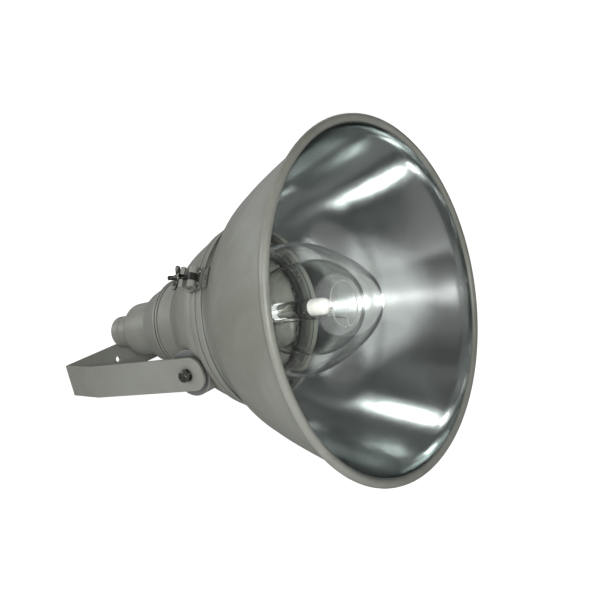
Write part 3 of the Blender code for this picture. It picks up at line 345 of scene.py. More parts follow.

# Materials. The dust's mask blends between the colours clean and dusty, and between the two values of rough.
# dust holds its scale, its amount and what settles on top; grain a fine and a soft scale, the soft share and
# a height; spun a scale and a height; creviceShade how near faces darken each other with painted shade and the
# share of colour left.
looks = {
    "greyEnamel": {"slot": "grey_paint", "clean": (0.300, 0.308, 0.278), "dusty": (0.208, 0.216, 0.178),
                   "rough": (0.36, 0.52), "dust": (7.0, 0.75, 0.25), "grain": (700.0, 45.0, 0.5, 0.00010),
                   "worn": (0.42, 0.43, 0.40), "creviceShade": (0.010, 0.34)},
    "castEnamel": {"slot": "grey_paint", "clean": (0.290, 0.298, 0.264), "dusty": (0.200, 0.209, 0.166),
                   "rough": (0.36, 0.52), "dust": (7.0, 0.75, 0.25), "grain": (700.0, 45.0, 0.5, 0.00012),
                   "worn": (0.42, 0.43, 0.40), "creviceShade": (0.012, 0.30), "bossEnd": (0.185, 0.192, 0.19)},
    "spunEnamel": {"slot": "grey_paint", "clean": (0.298, 0.306, 0.276), "dusty": (0.200, 0.210, 0.168),
                   "rough": (0.34, 0.48), "dust": (7.0, 0.9, 0.15), "grain": (700.0, 30.0, 0.6, 0.00010),
                   "spun": (500.0, 0.00006), "creviceShade": (0.010, 0.40)},
    "darkEnamel": {"slot": "dark_disc", "clean": (0.155, 0.158, 0.148), "dusty": (0.115, 0.118, 0.110),
                   "rough": (0.38, 0.55), "dust": (30.0, 0.9, 0.2), "grain": (900.0, 60.0, 0.4, 0.00008)},
    "mirrorAluminium": {"slot": "polished_aluminium", "metallic": 1.0, "clean": (0.61, 0.645, 0.635),
                        "dusty": (0.50, 0.53, 0.52), "rough": (0.12, 0.20), "dust": (6.0, 0.7, 0.0),
                        "spun": (900.0, 0.00003), "anisotropic": 0.65},
    "brightAluminium": {"slot": "carrier_aluminium", "metallic": 1.0, "clean": (0.60, 0.615, 0.60),
                        "dusty": (0.46, 0.47, 0.455), "rough": (0.20, 0.36), "dust": (14.0, 0.8, 0.0),
                        "grain": (600.0, 40.0, 0.5, 0.00006), "anisotropic": 0.5},
    "platedSteel": {"slot": "bright_steel", "metallic": 1.0, "clean": (0.56, 0.555, 0.53),
                    "dusty": (0.34, 0.335, 0.31), "rough": (0.22, 0.42), "dust": (90.0, 0.9, 0.0),
                    "grain": (1400.0, 200.0, 0.4, 0.00006), "worn": (0.78, 0.77, 0.74),
                    "creviceShade": (0.004, 0.25)},
    # painted reflection and shade: a darkened base colour stands for the dim room that these bolts and washers
    # reflect
    "steelWithPaintedDarkReflection": {"slot": "bright_steel", "metallic": 1.0, "clean": (0.25, 0.245, 0.225),
                  "dusty": (0.07, 0.066, 0.055), "rough": (0.22, 0.40), "dust": (160.0, 1.0, 0.1),
                  "grain": (1400.0, 200.0, 0.4, 0.00010), "worn": (0.75, 0.74, 0.70),
                  "creviceShade": (0.006, 0.12)},
    "wornBlackSteel": {"slot": "black_steel", "metallic": 1.0, "clean": (0.13, 0.127, 0.115),
                       "dusty": (0.04, 0.038, 0.033), "rough": (0.20, 0.38), "dust": (120.0, 0.9, 0.0),
                       "grain": (1400.0, 200.0, 0.4, 0.00008), "worn": (0.62, 0.61, 0.57),
                       "creviceShade": (0.005, 0.2)},
    "blackSteel": {"slot": "black_steel", "metallic": 0.7, "clean": (0.020, 0.020, 0.019),
                   "dusty": (0.045, 0.043, 0.038), "rough": (0.28, 0.46), "dust": (110.0, 0.8, 0.0),
                   "grain": (1400.0, 200.0, 0.4, 0.00006), "worn": (0.30, 0.29, 0.27)},
    "blackRubber": {"slot": "black_rubber", "clean": (0.018, 0.018, 0.018), "dusty": (0.045, 0.045, 0.042),
                    "rough": (0.45, 0.62), "dust": (40.0, 0.7, 0.1), "grain": (1200.0, 120.0, 0.4, 0.00010)},
    "whiteCeramic": {"slot": "white_ceramic", "clean": (0.78, 0.77, 0.73), "dusty": (0.64, 0.62, 0.56),
                     "rough": (0.30, 0.50), "dust": (60.0, 0.5, 0.0), "grain": (1200.0, 120.0, 0.5, 0.00006)},
    "rolledBrass": {"slot": "brass", "metallic": 1.0, "clean": (0.62, 0.46, 0.20),
                    "dusty": (0.36, 0.27, 0.13), "rough": (0.26, 0.42), "dust": (60.0, 0.7, 0.0),
                    "grain": (1200.0, 120.0, 0.4, 0.00005)},
    "clearGlass": {"slot": "clear_glass", "clean": (0.985, 0.995, 0.988), "dusty": (0.95, 0.965, 0.95),
                   "rough": (0.0, 0.03), "dust": (12.0, 0.55, 0.0), "grain": (55.0, 9.0, 0.7, 0.00004),
                   "glass": 1.45},
}


def darkAtBoss(tree, color, dark):
    # the flat ends of the housing's two bosses, coloured darker inside a thin rim round the discs
    place, middle = addNode(tree, "TexCoord").outputs["Object"], (0, pivot["depth"], -pivot["drop"])
    centred = addNode(tree, "VectorMath", {0: place, 1: middle}, operation="SUBTRACT")
    flat = addNode(tree, "VectorMath", {0: centred, 1: (0, 1, 1)}, operation="MULTIPLY")
    far = addNode(tree, "VectorMath", {0: flat}, operation="LENGTH").outputs["Value"]
    out = compute(tree, "ABSOLUTE", addNode(tree, "SeparateXYZ", {0: centred}).outputs["X"])
    near = compute(tree, "LESS_THAN", far, boss["radius"] - boss["darkEndInset"])
    atEnd = compute(tree, "GREATER_THAN", out, boss["face"] - boss["darkEndInset"])
    return mixColors(tree, compute(tree, "MULTIPLY", near, atEnd), color, dark)


def paintedShadeInCrevices(tree, color, reach, least):
    # painted shade: ambient occlusion darkens the colour in crevices, seams and between parts
    nearness = addNode(tree, "AmbientOcclusion", {"Distance": reach}, samples=8).outputs["AO"]
    shade = addNode(tree, "MapRange", {"Value": nearness, "From Min": 0.35, "To Min": least, "To Max": 1.0})
    return mixColors(tree, 1.0, color, shade.outputs[0], blend_type="MULTIPLY")


def surfaceRelief(tree, look):
    # grain and spinning lines as bumps, one over the other
    normal = None
    for name, labels in (("grain", ("Scale", "Soft Scale", "Soft Share")), ("spun", ("Scale",))):
        if name in look:
            *values, height = look[name]
            pattern = addNode(tree, "Group", node_tree=groups[name])
            for label, value in zip(labels, values):
                pattern.inputs[label].default_value = value
            under = {} if normal is None else {"Normal": normal}
            normal = addNode(tree, "Bump", {"Height": pattern, "Distance": height, **under})
    return normal


def makeLook(name, look):
    material = bpy.data.materials.new(name)
    material.use_nodes = True
    tree = material.node_tree
    shader = tree.nodes["Principled BSDF"]
    shader.inputs["Metallic"].default_value = look.get("metallic", 0.0)
    dust = addNode(tree, "Group", node_tree=groups["dust"])
    for label, value in zip(("Scale", "Amount", "Settled"), look["dust"]):
        dust.inputs[label].default_value = value
    smooth, rough = look["rough"]
    feed(tree, shader.inputs["Roughness"],
         addNode(tree, "MapRange", {"Value": dust, "To Min": smooth, "To Max": rough}))
    color = mixColors(tree, dust, look["clean"], look["dusty"])
    if "worn" in look:
        color = mixColors(tree, addNode(tree, "Group", node_tree=groups["worn"]), color, look["worn"])
    if "bossEnd" in look:
        color = darkAtBoss(tree, color, look["bossEnd"])
    # painted shade in crevices and between parts
    if "creviceShade" in look:
        color = paintedShadeInCrevices(tree, color, *look["creviceShade"])
    feed(tree, shader.inputs["Base Color"], color)
    feed(tree, shader.inputs["Normal"], surfaceRelief(tree, look))
    if "anisotropic" in look:
        shader.inputs["Anisotropic"].default_value = look["anisotropic"]
        shader.inputs["Anisotropic Rotation"].default_value = 0.25
        feed(tree, shader.inputs["Tangent"], addNode(tree, "Tangent", direction_type="RADIAL", axis="Y"))
    if "glass" in look:
        shader.inputs["Transmission Weight"].default_value = 1.0
        shader.inputs["IOR"].default_value = look["glass"]
        # lamps shine through the glass instead of casting its shadow
        ray = addNode(tree, "LightPath").outputs["Is Shadow Ray"]
        either = addNode(tree, "MixShader", {0: ray, 1: shader, 2: addNode(tree, "BsdfTransparent")})
        feed(tree, tree.nodes["Material Output"].inputs["Surface"], either)
    return material


finishes = {name: makeLook(name, look) for name, look in looks.items()}
print("materials:", len(finishes))


def newPiece(name, mesh, look, node, body="head", place=lampPlace, bevel=0.0, parts=2, sharp=38):
    mesh.name = name
    mesh.materials.clear()
    mesh.materials.append(finishes[look])
    made = bpy.data.objects.new(name, mesh)
    bpy.context.scene.collection.objects.link(made)
    made.matrix_world = place
    if bevel:
        edges = made.modifiers.new("edges", "BEVEL")
        edges.width, edges.segments = bevel, parts
        edges.limit_method, edges.angle_limit = "ANGLE", math.radians(30)
        edges.harden_normals = True
    mesh.shade_smooth()
    mesh.set_sharp_from_angle(angle=math.radians(sharp))
    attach(made, body)
    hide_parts(node)
    return made


def turnedPiece(name, outline, steps, look, node, edge=0.0, parts=3, **more):
    # a piece turned from an outline, with its edges rounded
    outline = softened(outline, edge, parts) if edge else outline
    return newPiece(name, Draft().turned(outline, steps).done(), look, node, **more)


def pointed(place, direction, twist=0.0):
    # a place whose y runs along a direction
    turn = Vector(direction).to_track_quat("Y", "Z").to_matrix().to_4x4()
    return Matrix.Translation(place) @ turn @ Matrix.Rotation(twist, 4, "Y")


# Pan-head screws, with the crown's shape in shares of the head's height and radius
clipScrew = {"head": 0.0033, "tall": 0.0022, "shank": 0.002, "radius": 0.0017, "slot": 0.0009,
             "crown": ((0, 1), (-0.55, 1), (-0.9, 0.72), (-1, 0.35)), "round": 0.3, "slotFoot": 0.45,
             "steps": 40}
baseScrew = {**clipScrew, "head": 0.0028, "shank": 0.0015}
catchScrew = {**clipScrew, "shank": 0.0015}


def makeScrew(name, node, screw, place):
    # its head stands on y = 0, with a screwdriver's slot across it
    head, tall, half = screw["head"], screw["tall"], screw["slot"] / 2
    crown = [(along * tall, share * head) for along, share in screw["crown"]]
    outline = [(screw["shank"], 0), (screw["shank"], screw["radius"]), (0, screw["radius"]),
               *softened(crown, screw["round"] * tall, 4, closed=False), (-tall, 0)]
    slot = Draft().block((-2 * head, -2 * tall, -half), (2 * head, -screw["slotFoot"] * tall, half))
    mesh = reshaped(Draft().turned(outline, screw["steps"]).done(), "DIFFERENCE", slot)
    newPiece(name, mesh, "platedSteel", node, place=place)


# Reflector and neck ring

reflector = {"mouthRadius": 0.280, "beadRadius": 0.007, "neckRadius": 0.1442, "neckDepth": 0.237,
             "shape": ((0, 1), (0.20, 0.853), (0.40, 0.705), (0.58, 0.556), (0.76, 0.373), (1, 0)),
             "wall": 0.0015, "coveStart": 0.212, "coveTurn": 0.2265, "coveEnd": 0.2312, "rollStart": -18,
             "rollEnd": 312, "rollMeets": 0.0133, "beadSlack": 0.00015, "linerWall": 0.001,
             "linerSpace": 0.0008, "linerFront": 0.0055, "linerLip": 0.014, "linerMeets": 0.0189,
             "steps": 288}
ring = {"front": 0.2305, "frontRadius": 0.1618, "slope": 0.347, "rear": 0.247, "wall": 0.003, "bore": 0.140,
        "gasket": 0.0017, "edge": 0.0012, "gasketEdge": 0.0006, "steps": 240}


def ringRadius(y):
    return ring["frontRadius"] - ring["slope"] * (y - ring["front"])


def bellLine():
    # the bell's outside from its bead to its neck, without the cove there
    depth = reflector["neckDepth"] - reflector["beadRadius"]
    rim = reflector["mouthRadius"] - reflector["beadRadius"]
    spread = rim - reflector["neckRadius"]
    return [(reflector["beadRadius"] + depth * t, reflector["neckRadius"] + spread * f)
            for t, f in smoothThrough(reflector["shape"], 8)]


def bellOutside():
    # the bell's outside, which sweeps up to the ring's front edge at its neck
    line = bellLine()
    start, turn, end = reflector["coveStart"], reflector["coveTurn"], reflector["coveEnd"]
    cove = bend((start, readLine(line, start)), (turn, readLine(line, turn)),
                (end, ringRadius(end) - ring["wall"] - gap), 16)
    return [point for point in line if point[0] < start] + cove


def makeBell():
    bead, neck, meets = reflector["beadRadius"], reflector["neckDepth"], reflector["rollMeets"]
    end = neck - reflector["wall"]
    outer = [point for point in bellOutside() if meets < point[0]]
    sheet = [point for point in bellLine() if meets < point[0] < end]
    inner = inside([*sheet, (end, readLine(bellLine(), end))], reflector["wall"])
    roll = arc((bead, reflector["mouthRadius"] - bead), bead - reflector["beadSlack"], reflector["rollStart"],
               reflector["rollEnd"], 40)
    flange = [(neck, inner[-1][1]), (neck, ringRadius(neck) - ring["wall"] - gap)]
    outline = roll + inner + flange + outer[::-1]
    turnedPiece("spunBell", outline, reflector["steps"], "spunEnamel", "reflector_shell")


def makeLiner():
    skin, sheet = reflector["wall"] + reflector["linerSpace"], reflector["linerWall"]
    neck = reflector["neckDepth"]
    curve = [point for point in bellLine() if reflector["linerMeets"] < point[0] < neck - reflector["wall"]]
    outer, inner = inside(curve, skin), inside(curve, skin + sheet)
    lip = reflector["mouthRadius"] - 2 * reflector["beadRadius"] - gap
    end = inside(bellLine(), skin)[-1][1]
    front = smoothThrough([(reflector["linerFront"], lip), (reflector["linerLip"], lip), outer[0]], 4)
    frontInside = [(y, r - sheet) for y, r in front[:-1]] + [inner[0]]
    outline = front + outer[1:] + [(neck, end), (neck, end - sheet)] + inner[:0:-1] + frontInside[::-1]
    turnedPiece("mirrorLiner", outline, reflector["steps"], "mirrorAluminium", "reflector_liner")


hinge = {"angle": math.radians(-50), "pinRadius": 0.003, "radius": 0.1665, "depth": 0.2481, "knuckle": 0.010,
         "pinEnd": 0.003, "pinEdge": 0.0008, "boreEnd": 0.004}


def hingeBar(radius, extra):
    half = hinge["knuckle"] * 1.5 + extra
    turn = around(hinge["angle"])
    ends = [turn @ Vector((side * half, hinge["depth"], hinge["radius"])) for side in (-1, 1)]
    return Draft().rod(*ends, radius)


def withKnuckles(mesh, front, rear, places):
    # the hinge's knuckles joined to a casting, and bored for its pin
    draft = Draft()
    eye = 2 * hinge["pinRadius"]
    for place in places:
        middle = place * (hinge["knuckle"] + 2 * gap)
        low = hinge["radius"] - eye
        outline = [(rear, low), (rear, ringRadius(rear) - ring["wall"] / 2),
                   (front, ringRadius(front) - ring["wall"] / 2), (front, low),
                   *arc((hinge["depth"], hinge["radius"]), eye, 200, -20, 18)]
        half = hinge["knuckle"] / 2
        draft.slab(outline, middle - half, middle + half, around(hinge["angle"]))
    mesh = reshaped(mesh, "UNION", draft)
    return reshaped(mesh, "DIFFERENCE", hingeBar(hinge["pinRadius"] + gap, hinge["boreEnd"]))


def makeNeckRing():
    face = reflector["neckDepth"] + gap
    front, rear, wall, bore = ring["front"], ring["rear"], ring["wall"], ring["bore"]
    outline = [(front, ringRadius(front)), (rear, ringRadius(rear)), (rear, bore), (face, bore),
               (face, ringRadius(face) - wall), (front, ringRadius(front) - wall)]
    mesh = Draft().turned(softened(outline, ring["edge"], 5), ring["steps"]).done()
    newPiece("neckRing", withKnuckles(mesh, front + wall, rear, (-1, 1)), "greyEnamel", "reflector_ring")
    front, rear = ring["rear"] + gap, housing["front"] - gap
    outline = band(front, rear, bore, ringRadius(front) - gap, ringRadius(rear) - gap)
    turnedPiece("neckSeal", outline, ring["steps"], "blackRubber", "ring_gasket", ring["gasketEdge"])
    newPiece("ringHingePin", hingeBar(hinge["pinRadius"], hinge["pinEnd"]).done(), "platedSteel", "hinge_pin",
             bevel=hinge["pinEdge"], parts=3)


# Housing

housing = {"flange": 0.0161, "step": 0.005, "wall": 0.003, "length": 0.1535,
           "bowl": ((0, 1), (0.13, 0.925), (0.26, 0.80), (0.39, 0.648), (0.52, 0.43), (0.61, 0.27),
                    (0.69, 0.152)),
           "cone": ((0.72, 0.122), (0.84, 0.062), (1, 0)), "crease": 0.0024, "creaseStart": 0.0002,
           "creaseEnd": 0.0016, "creaseBrink": 0.002, "stepRadius": 0.0782, "lipRadius": 0.0800,
           "lipWidth": 0.0045, "seam": 0.0012, "ledge": 0.006, "ledgeWidth": 0.007, "ledgeThickness": 0.005,
           "pocket": 0.141, "edge": 0.0011, "steps": 240}
housing["front"] = ring["rear"] + ring["gasket"] + 2 * gap
housing["flangeRear"] = housing["front"] + housing["flange"]
housing["seamDepth"] = housing["flangeRear"] + housing["length"]
carrier = {"wall": 0.002, "bore": 0.104, "edge": 0.0004}


def housingLines():
    # the bowl and the cone behind it
    start = ringRadius(housing["flangeRear"]) - housing["step"]
    fall = start - housing["stepRadius"]
    return [[(housing["flangeRear"] + housing["length"] * t, housing["stepRadius"] + fall * f)
             for t, f in smoothThrough(housing[part], 4)] for part in ("bowl", "cone")]


def housingOutline():
    bowl, cone = housingLines()
    seam, front, rear = housing["seamDepth"], housing["front"], housing["flangeRear"]
    ledgeFront = front + housing["ledge"] + carrier["wall"] + gap
    ledgeRear = ledgeFront + housing["ledgeThickness"]
    pocket, lipFront, lip = housing["pocket"], seam - housing["lipWidth"], housing["lipRadius"]
    ledge = pocket - housing["ledgeWidth"]
    bowlEnd = bowl[-1][0]
    foot = readLine(bowl + cone, bowlEnd + housing["creaseBrink"]) - housing["crease"]
    crease = [(bowlEnd + housing["creaseStart"], foot), (bowlEnd + housing["creaseEnd"], foot)]
    outer = [(front, ringRadius(front)), (rear, ringRadius(rear)), *bowl, *crease,
             *[point for point in cone[:-1] if point[0] < lipFront],
             (lipFront, housing["stepRadius"]), (lipFront, lip), (seam, lip)]
    wall = inside(bowl + cone, housing["wall"])
    inner = [(seam, wall[-1][1]), *wall[-2:0:-1], (rear, wall[0][1]), (ledgeRear, wall[0][1]),
             (ledgeRear, ledge), (ledgeFront, ledge), (ledgeFront, pocket), (front, pocket)]
    return softened(outer + inner, housing["edge"])


def withBosses(mesh):
    # a round boss and a rib to the flange at each side, and room for the strap's end to turn
    depth, level = pivot["depth"], -pivot["drop"]
    reach = math.hypot(strap["armFront"] - strap["armCorner"], strap["width"] / 2 - strap["armCorner"])
    reach += strap["armCorner"] + strap["clearance"]
    near, far = strap["halfWidth"] - strap["thickness"] - strap["side"], strap["halfWidth"] + strap["side"]
    for side in (-1, 1):
        outline = softened(band(boss["root"], boss["face"], 0, boss["radius"]), boss["edge"], 4, closed=False)
        mesh = reshaped(mesh, "UNION", Draft().turned(outline, boss["steps"], sideways(side)))
        low, high = sorted((side * (boss["face"] - boss["ribInset"]), side * boss["ribRoot"]))
        rib = Draft().block((low, housing["flangeRear"] - housing["flange"] / 2, level - boss["rib"] / 2),
                            (high, depth, level + boss["rib"] / 2))
        mesh = reshaped(mesh, "UNION", rib)
        relief = Draft().rod((side * near, depth, level), (side * far, depth, level), reach, boss["steps"])
        mesh = reshaped(mesh, "DIFFERENCE", relief)
    return mesh


def sideways(side):
    # a place on the tilt axis, whose y runs out to one side of the lamp
    return (Matrix.Translation((0, pivot["depth"], -pivot["drop"]))
            @ Matrix.Rotation(-side * math.pi / 2, 4, "Z"))


def makeHousing():
    mesh = withBosses(Draft().turned(housingOutline(), housing["steps"]).done())
    mesh = withKnuckles(mesh, housing["front"], housing["flangeRear"], (0,))
    newPiece("housingCasting", mesh, "castEnamel", "housing_bell")
    print("housing:", len(mesh.polygons), "faces")


# Rear housing and gland

rear = {"coneLength": 0.040, "coneEnd": 0.0632, "drumRadius": 0.050, "taper": 0.003, "drumLength": 0.077,
        "drumRound": 0.013, "wall": 0.004, "spigot": 0.008, "spigotWall": 0.0025, "sealInset": 0.0004,
        "edge": 0.0012, "steps": 192}
gland = {"radius": 0.0285, "body": 0.030, "nut": 0.0203, "round": 0.0055, "shank": 0.013, "locknut": 0.006,
         "cable": 0.007, "sealWall": 0.005, "sealDepth": 0.012, "squeeze": 0.002, "edge": 0.0009,
         "sealEdge": 0.0015, "sealSteps": 64, "steps": 128}
rear["start"] = housing["seamDepth"] + housing["seam"] + 2 * gap
rear["coneStart"] = rear["start"] + housing["lipWidth"]
rear["stepDepth"] = rear["coneStart"] + rear["coneLength"]
rear["stepFace"] = rear["stepDepth"] - housing["wall"]
rear["end"] = rear["stepDepth"] + rear["drumLength"]


def makeRearHousing():
    seam, lip, wall = housing["seamDepth"] + gap, housing["lipRadius"], housing["wall"]
    spigot = housing["stepRadius"] - wall - gap
    turnedPiece("seamSeal", band(seam, seam + housing["seam"], spigot + 2 * gap, lip - rear["sealInset"]),
                rear["steps"], "blackRubber", "seam_gasket")
    tail, end, hole = rear["drumRadius"] - rear["taper"], rear["end"], gland["shank"] + gap
    step, cone, stepRadius = rear["stepDepth"], rear["coneStart"], housing["stepRadius"]
    drumInside = rear["drumRadius"] - wall
    middle = (end - rear["drumRound"], tail - rear["drumRound"])
    shoulder = arc(middle, rear["drumRound"], 90, 0, 12)
    hollow = arc(middle, rear["drumRound"] - wall, 0, 90, 6)
    spigotEnd = rear["start"] - rear["spigot"]
    outline = [(rear["start"], lip), (cone, lip), (cone, stepRadius - wall / 3), (step, rear["coneEnd"]),
               (step, rear["drumRadius"]), *shoulder, (end, hole), (end - rear["wall"], hole),
               (end - rear["wall"], hollow[0][1]), *hollow[1:], (step, drumInside),
               (rear["stepFace"], drumInside), (rear["stepFace"], rear["coneEnd"] - wall),
               (cone, stepRadius - wall - rear["spigotWall"]),
               (spigotEnd, spigot - rear["spigotWall"]), (spigotEnd, spigot), (rear["start"], spigot)]
    turnedPiece("rearCasting", outline, rear["steps"], "greyEnamel", "rear_housing", rear["edge"], 4)


def makeGland():
    front, cable, radius, shank = rear["end"] + gap, gland["cable"], gland["radius"], gland["shank"]
    end, seat = front + gland["body"], cable + gland["sealWall"]
    shankEnd, sealEnd = rear["end"] - rear["wall"] - gland["locknut"], end - gland["sealDepth"]
    outline = [(shankEnd, cable), (shankEnd, shank), (front, shank), (front, radius), (end, radius),
               (end, seat), (sealEnd, seat), (sealEnd, cable)]
    turnedPiece("glandBodyTurned", outline, gland["steps"], "greyEnamel", "gland_body", gland["edge"])
    outline = band(sealEnd + gap, end, cable - gland["squeeze"], seat - gap)
    turnedPiece("glandSealRing", outline, gland["sealSteps"], "blackRubber", "gland_seal",
                gland["sealEdge"], 4)
    start, finish, turn = end + gap, end + gap + gland["nut"], gland["round"]
    outline = [(start, cable), (start, radius), *arc((finish - turn, radius - turn), turn, 90, 0, 10),
               (finish, cable)]
    turnedPiece("glandNutTurned", outline, gland["steps"], "greyEnamel", "gland_nut", gland["edge"])


# Glass dome, its carrier and clips

dome = {"radius": 0.108, "wall": 0.004, "flangeWidth": 0.0055, "flange": 0.004, "shoulder": 0.161,
        "apex": 0.0165, "power": 1.2, "edge": 0.0012, "seat": 0.0015, "gasketWidth": 0.0048,
        "gasketFoot": 0.003, "gasketEdge": 0.001, "steps": 192}
clip = {"count": 3, "width": 0.012, "thickness": 0.0015, "length": 0.0205, "hook": 0.006, "bend": 0.0009,
        "edge": 0.0003, "screwTurn": 0.7}
dome["face"] = housing["front"] + housing["ledge"]
dome["flangeRadius"] = dome["radius"] + dome["flangeWidth"]
dome["gasketRear"] = dome["face"] - gap
dome["flangeRear"] = dome["gasketRear"] - dome["seat"] - gap
dome["flangeFront"] = dome["flangeRear"] - dome["flange"]
dome["gasketFront"] = dome["flangeFront"] - gap - dome["seat"]
dome["gasketRadius"] = dome["flangeRadius"] + gap + dome["gasketWidth"]
clip["place"] = housing["pocket"] - housing["ledgeWidth"] / 2
clip["foot"] = dome["gasketRadius"] + gap


def domeLine(radius, apex, parts=36):
    # from the dome's apex to its shoulder
    line = []
    for part in range(parts + 1):
        rise = math.sin(math.pi / 2 * (1 - part / parts))
        line.append((dome["shoulder"] - (dome["shoulder"] - apex) * rise,
                     radius * math.sqrt(max(0.0, 1 - rise ** dome["power"]))))
    return line


def makeDome():
    shoulder, radius, thin = dome["shoulder"], dome["radius"], dome["radius"] - dome["wall"]
    front, rearFace, wide = dome["flangeFront"], dome["flangeRear"], dome["flangeRadius"]
    rim = softened([(shoulder, radius), (front, radius), (front, wide), (rearFace, wide), (rearFace, thin),
                    (shoulder, thin)], dome["edge"], 4, closed=False)
    outline = domeLine(radius, dome["apex"]) + rim[1:-1] + domeLine(thin, dome["apex"] + dome["wall"])[::-1]
    turnedPiece("domeGlass", outline, dome["steps"], "clearGlass", "glass_dome", sharp=60)
    foot, lip, outside = radius - dome["gasketFoot"], radius + 2 * gap, dome["gasketRadius"]
    back, seat = dome["gasketRear"], dome["gasketRear"] - dome["seat"]
    outline = [(back, foot), (back, outside), (dome["gasketFront"], outside), (dome["gasketFront"], lip),
               (front - gap, lip), (front - gap, wide + gap), (seat, wide + gap), (seat, foot)]
    turnedPiece("domeSeal", outline, dome["steps"], "blackRubber", "dome_gasket", dome["gasketEdge"], 4)
    outline = band(dome["face"], dome["face"] + carrier["wall"], carrier["bore"], housing["pocket"] - gap)
    turnedPiece("carrierPlate", outline, dome["steps"], "brightAluminium", "lens_carrier", carrier["edge"], 2)


def makeClips():
    face, top, foot = dome["face"] - gap, dome["gasketFront"] - gap, clip["foot"]
    sheet, end, tip = clip["thickness"], foot + clip["length"], foot - clip["hook"]
    back = foot + sheet
    outline = [(face, foot), (face, end), (face - sheet, end), (face - sheet, back), (top - sheet, back),
               (top - sheet, tip), (top, tip), (top, foot)]
    outline = softened(outline, clip["bend"], 4)
    for number in range(1, clip["count"] + 1):
        angle = math.tau * (number - 0.5) / clip["count"]
        mesh = Draft().slab(outline, -clip["width"] / 2, clip["width"] / 2, around(angle)).done()
        newPiece(f"springClip{number}", mesh, "platedSteel", f"dome_clip_{number}", bevel=clip["edge"])
        seat = (clip["place"] * math.cos(angle), face - sheet - gap, clip["place"] * math.sin(angle))
        makeScrew(f"clipScrew{number}", f"clip_screw_{number}", clipScrew,
                  lampPlace @ pointed(seat, (0, 1, 0), clip["screwTurn"] * (number - 1)))


# Lamp

lamp = {"radius": 0.076, "nose": 0.054, "widest": 0.138, "neckRadius": 0.023, "neck": 0.345,
        "wall": 0.0016, "pinch": 0.0025, "capFront": 0.378,
        "shape": ((0, 1), (0.25, 0.90), (0.5, 0.60), (0.75, 0.22), (1, 0)), "stemRadius": 0.011,
        "stemTip": 0.0066, "stemFront": 0.300, "stemRound": 0.010, "stemFlare": 0.020,
        "stemFoot": 0.004, "steps": 128}
arcTube = {"radius": 0.0135, "front": 0.108, "length": 0.142, "end": 0.034, "coat": 0.0001, "steps": 64}
lampWire = {"radius": 0.0011, "offset": 0.0195, "ringRadius": 0.036, "ringPlace": 0.080, "ringStart": -90,
            "ringTurn": 346, "bend": 0.006, "foot": 0.016}


def bulbLine(shrink):
    depth, radius = lamp["widest"] - lamp["nose"] - shrink, lamp["radius"] - shrink
    line = [(lamp["widest"] - depth * math.cos(turn), radius * math.sin(turn))
            for turn in [math.pi / 2 * part / 24 for part in range(24)]]
    span, fall = lamp["neck"] - lamp["widest"], lamp["radius"] - lamp["neckRadius"]
    line += [(lamp["widest"] + span * t, lamp["neckRadius"] + fall * f - shrink)
             for t, f in smoothThrough(lamp["shape"], 8)]
    return line + [(lamp["capFront"] - gap, lamp["neckRadius"] - lamp["pinch"] - shrink)]


def makeLamp():
    outline = bulbLine(0) + bulbLine(lamp["wall"])[::-1]
    turnedPiece("bulbGlass", outline, lamp["steps"], "clearGlass", "lamp_bulb", sharp=60)
    flare = lamp["neckRadius"] - lamp["pinch"] - lamp["wall"] - gap
    cap, stem, radius = lamp["capFront"], lamp["stemFront"], lamp["stemRadius"]
    side = smoothThrough([(stem, lamp["stemTip"]), (stem + lamp["stemRound"], radius),
                          (cap - lamp["stemFlare"], radius), (cap - lamp["stemFoot"], flare)], 5)
    outline = [(stem, 0), *side, (cap - gap, flare), (cap - gap, 0)]
    turnedPiece("stemGlass", outline, arcTube["steps"], "clearGlass", "lamp_stem", sharp=60)
    front, radius = arcTube["front"], arcTube["radius"]
    rearEnd = front + arcTube["length"]
    bodyFront, bodyRear = front + arcTube["end"], rearEnd - arcTube["end"]
    outline = band(bodyFront + gap, bodyRear - gap, 0, radius)
    turnedPiece("quartzTube", outline, arcTube["steps"], "clearGlass", "arc_tube", sharp=60)
    coat = radius + arcTube["coat"]
    for name, centre, start, joint in (("Front", front + radius, 180, bodyFront),
                                       ("Rear", rearEnd - radius, 0, bodyRear)):
        outline = [*arc((centre, 0), coat, start, 90, 12), (joint, coat), (joint, 0)]
        node = f"arc_tube_{name.lower()}_end"
        turnedPiece("tubeEnd" + name, outline, arcTube["steps"], "whiteCeramic", node)


def makeLampWires():
    # one bent wire: from the stem along the tube, then a ring that springs in the bulb's nose
    offset, place, reach = lampWire["offset"], lampWire["ringPlace"], lampWire["ringRadius"]
    stem, front, thin, turn = lamp["stemFront"], arcTube["front"], lampWire["radius"], lampWire["bend"]
    start = lampWire["ringStart"]
    ringPath = [(x, place, z) for x, z in arc((0, 0), reach, start, start + lampWire["ringTurn"], 60)]
    bends = [(0, stem + lampWire["foot"], -lamp["stemRadius"] - thin - gap),
             (0, stem + turn, -(lamp["stemRadius"] + offset) / 2), (0, stem - turn, -offset),
             (0, front - turn, -offset), ringPath[0]]
    path = smoothThrough(bends, 6)[:-1] + ringPath
    newPiece("supportWire", Draft().wire(path, thin).done(), "platedSteel", "lamp_frame")
    drop = front - thin - 4 * gap
    path = smoothThrough([(0, front - gap, 0), (0, drop, 0), (0, drop - thin, -2 * thin),
                          (0, drop - thin, -offset + thin + gap)], 5)
    newPiece("frontLeadWire", Draft().wire(path, thin).done(), "platedSteel", "arc_front_lead")


# Bracket and tilt pivots

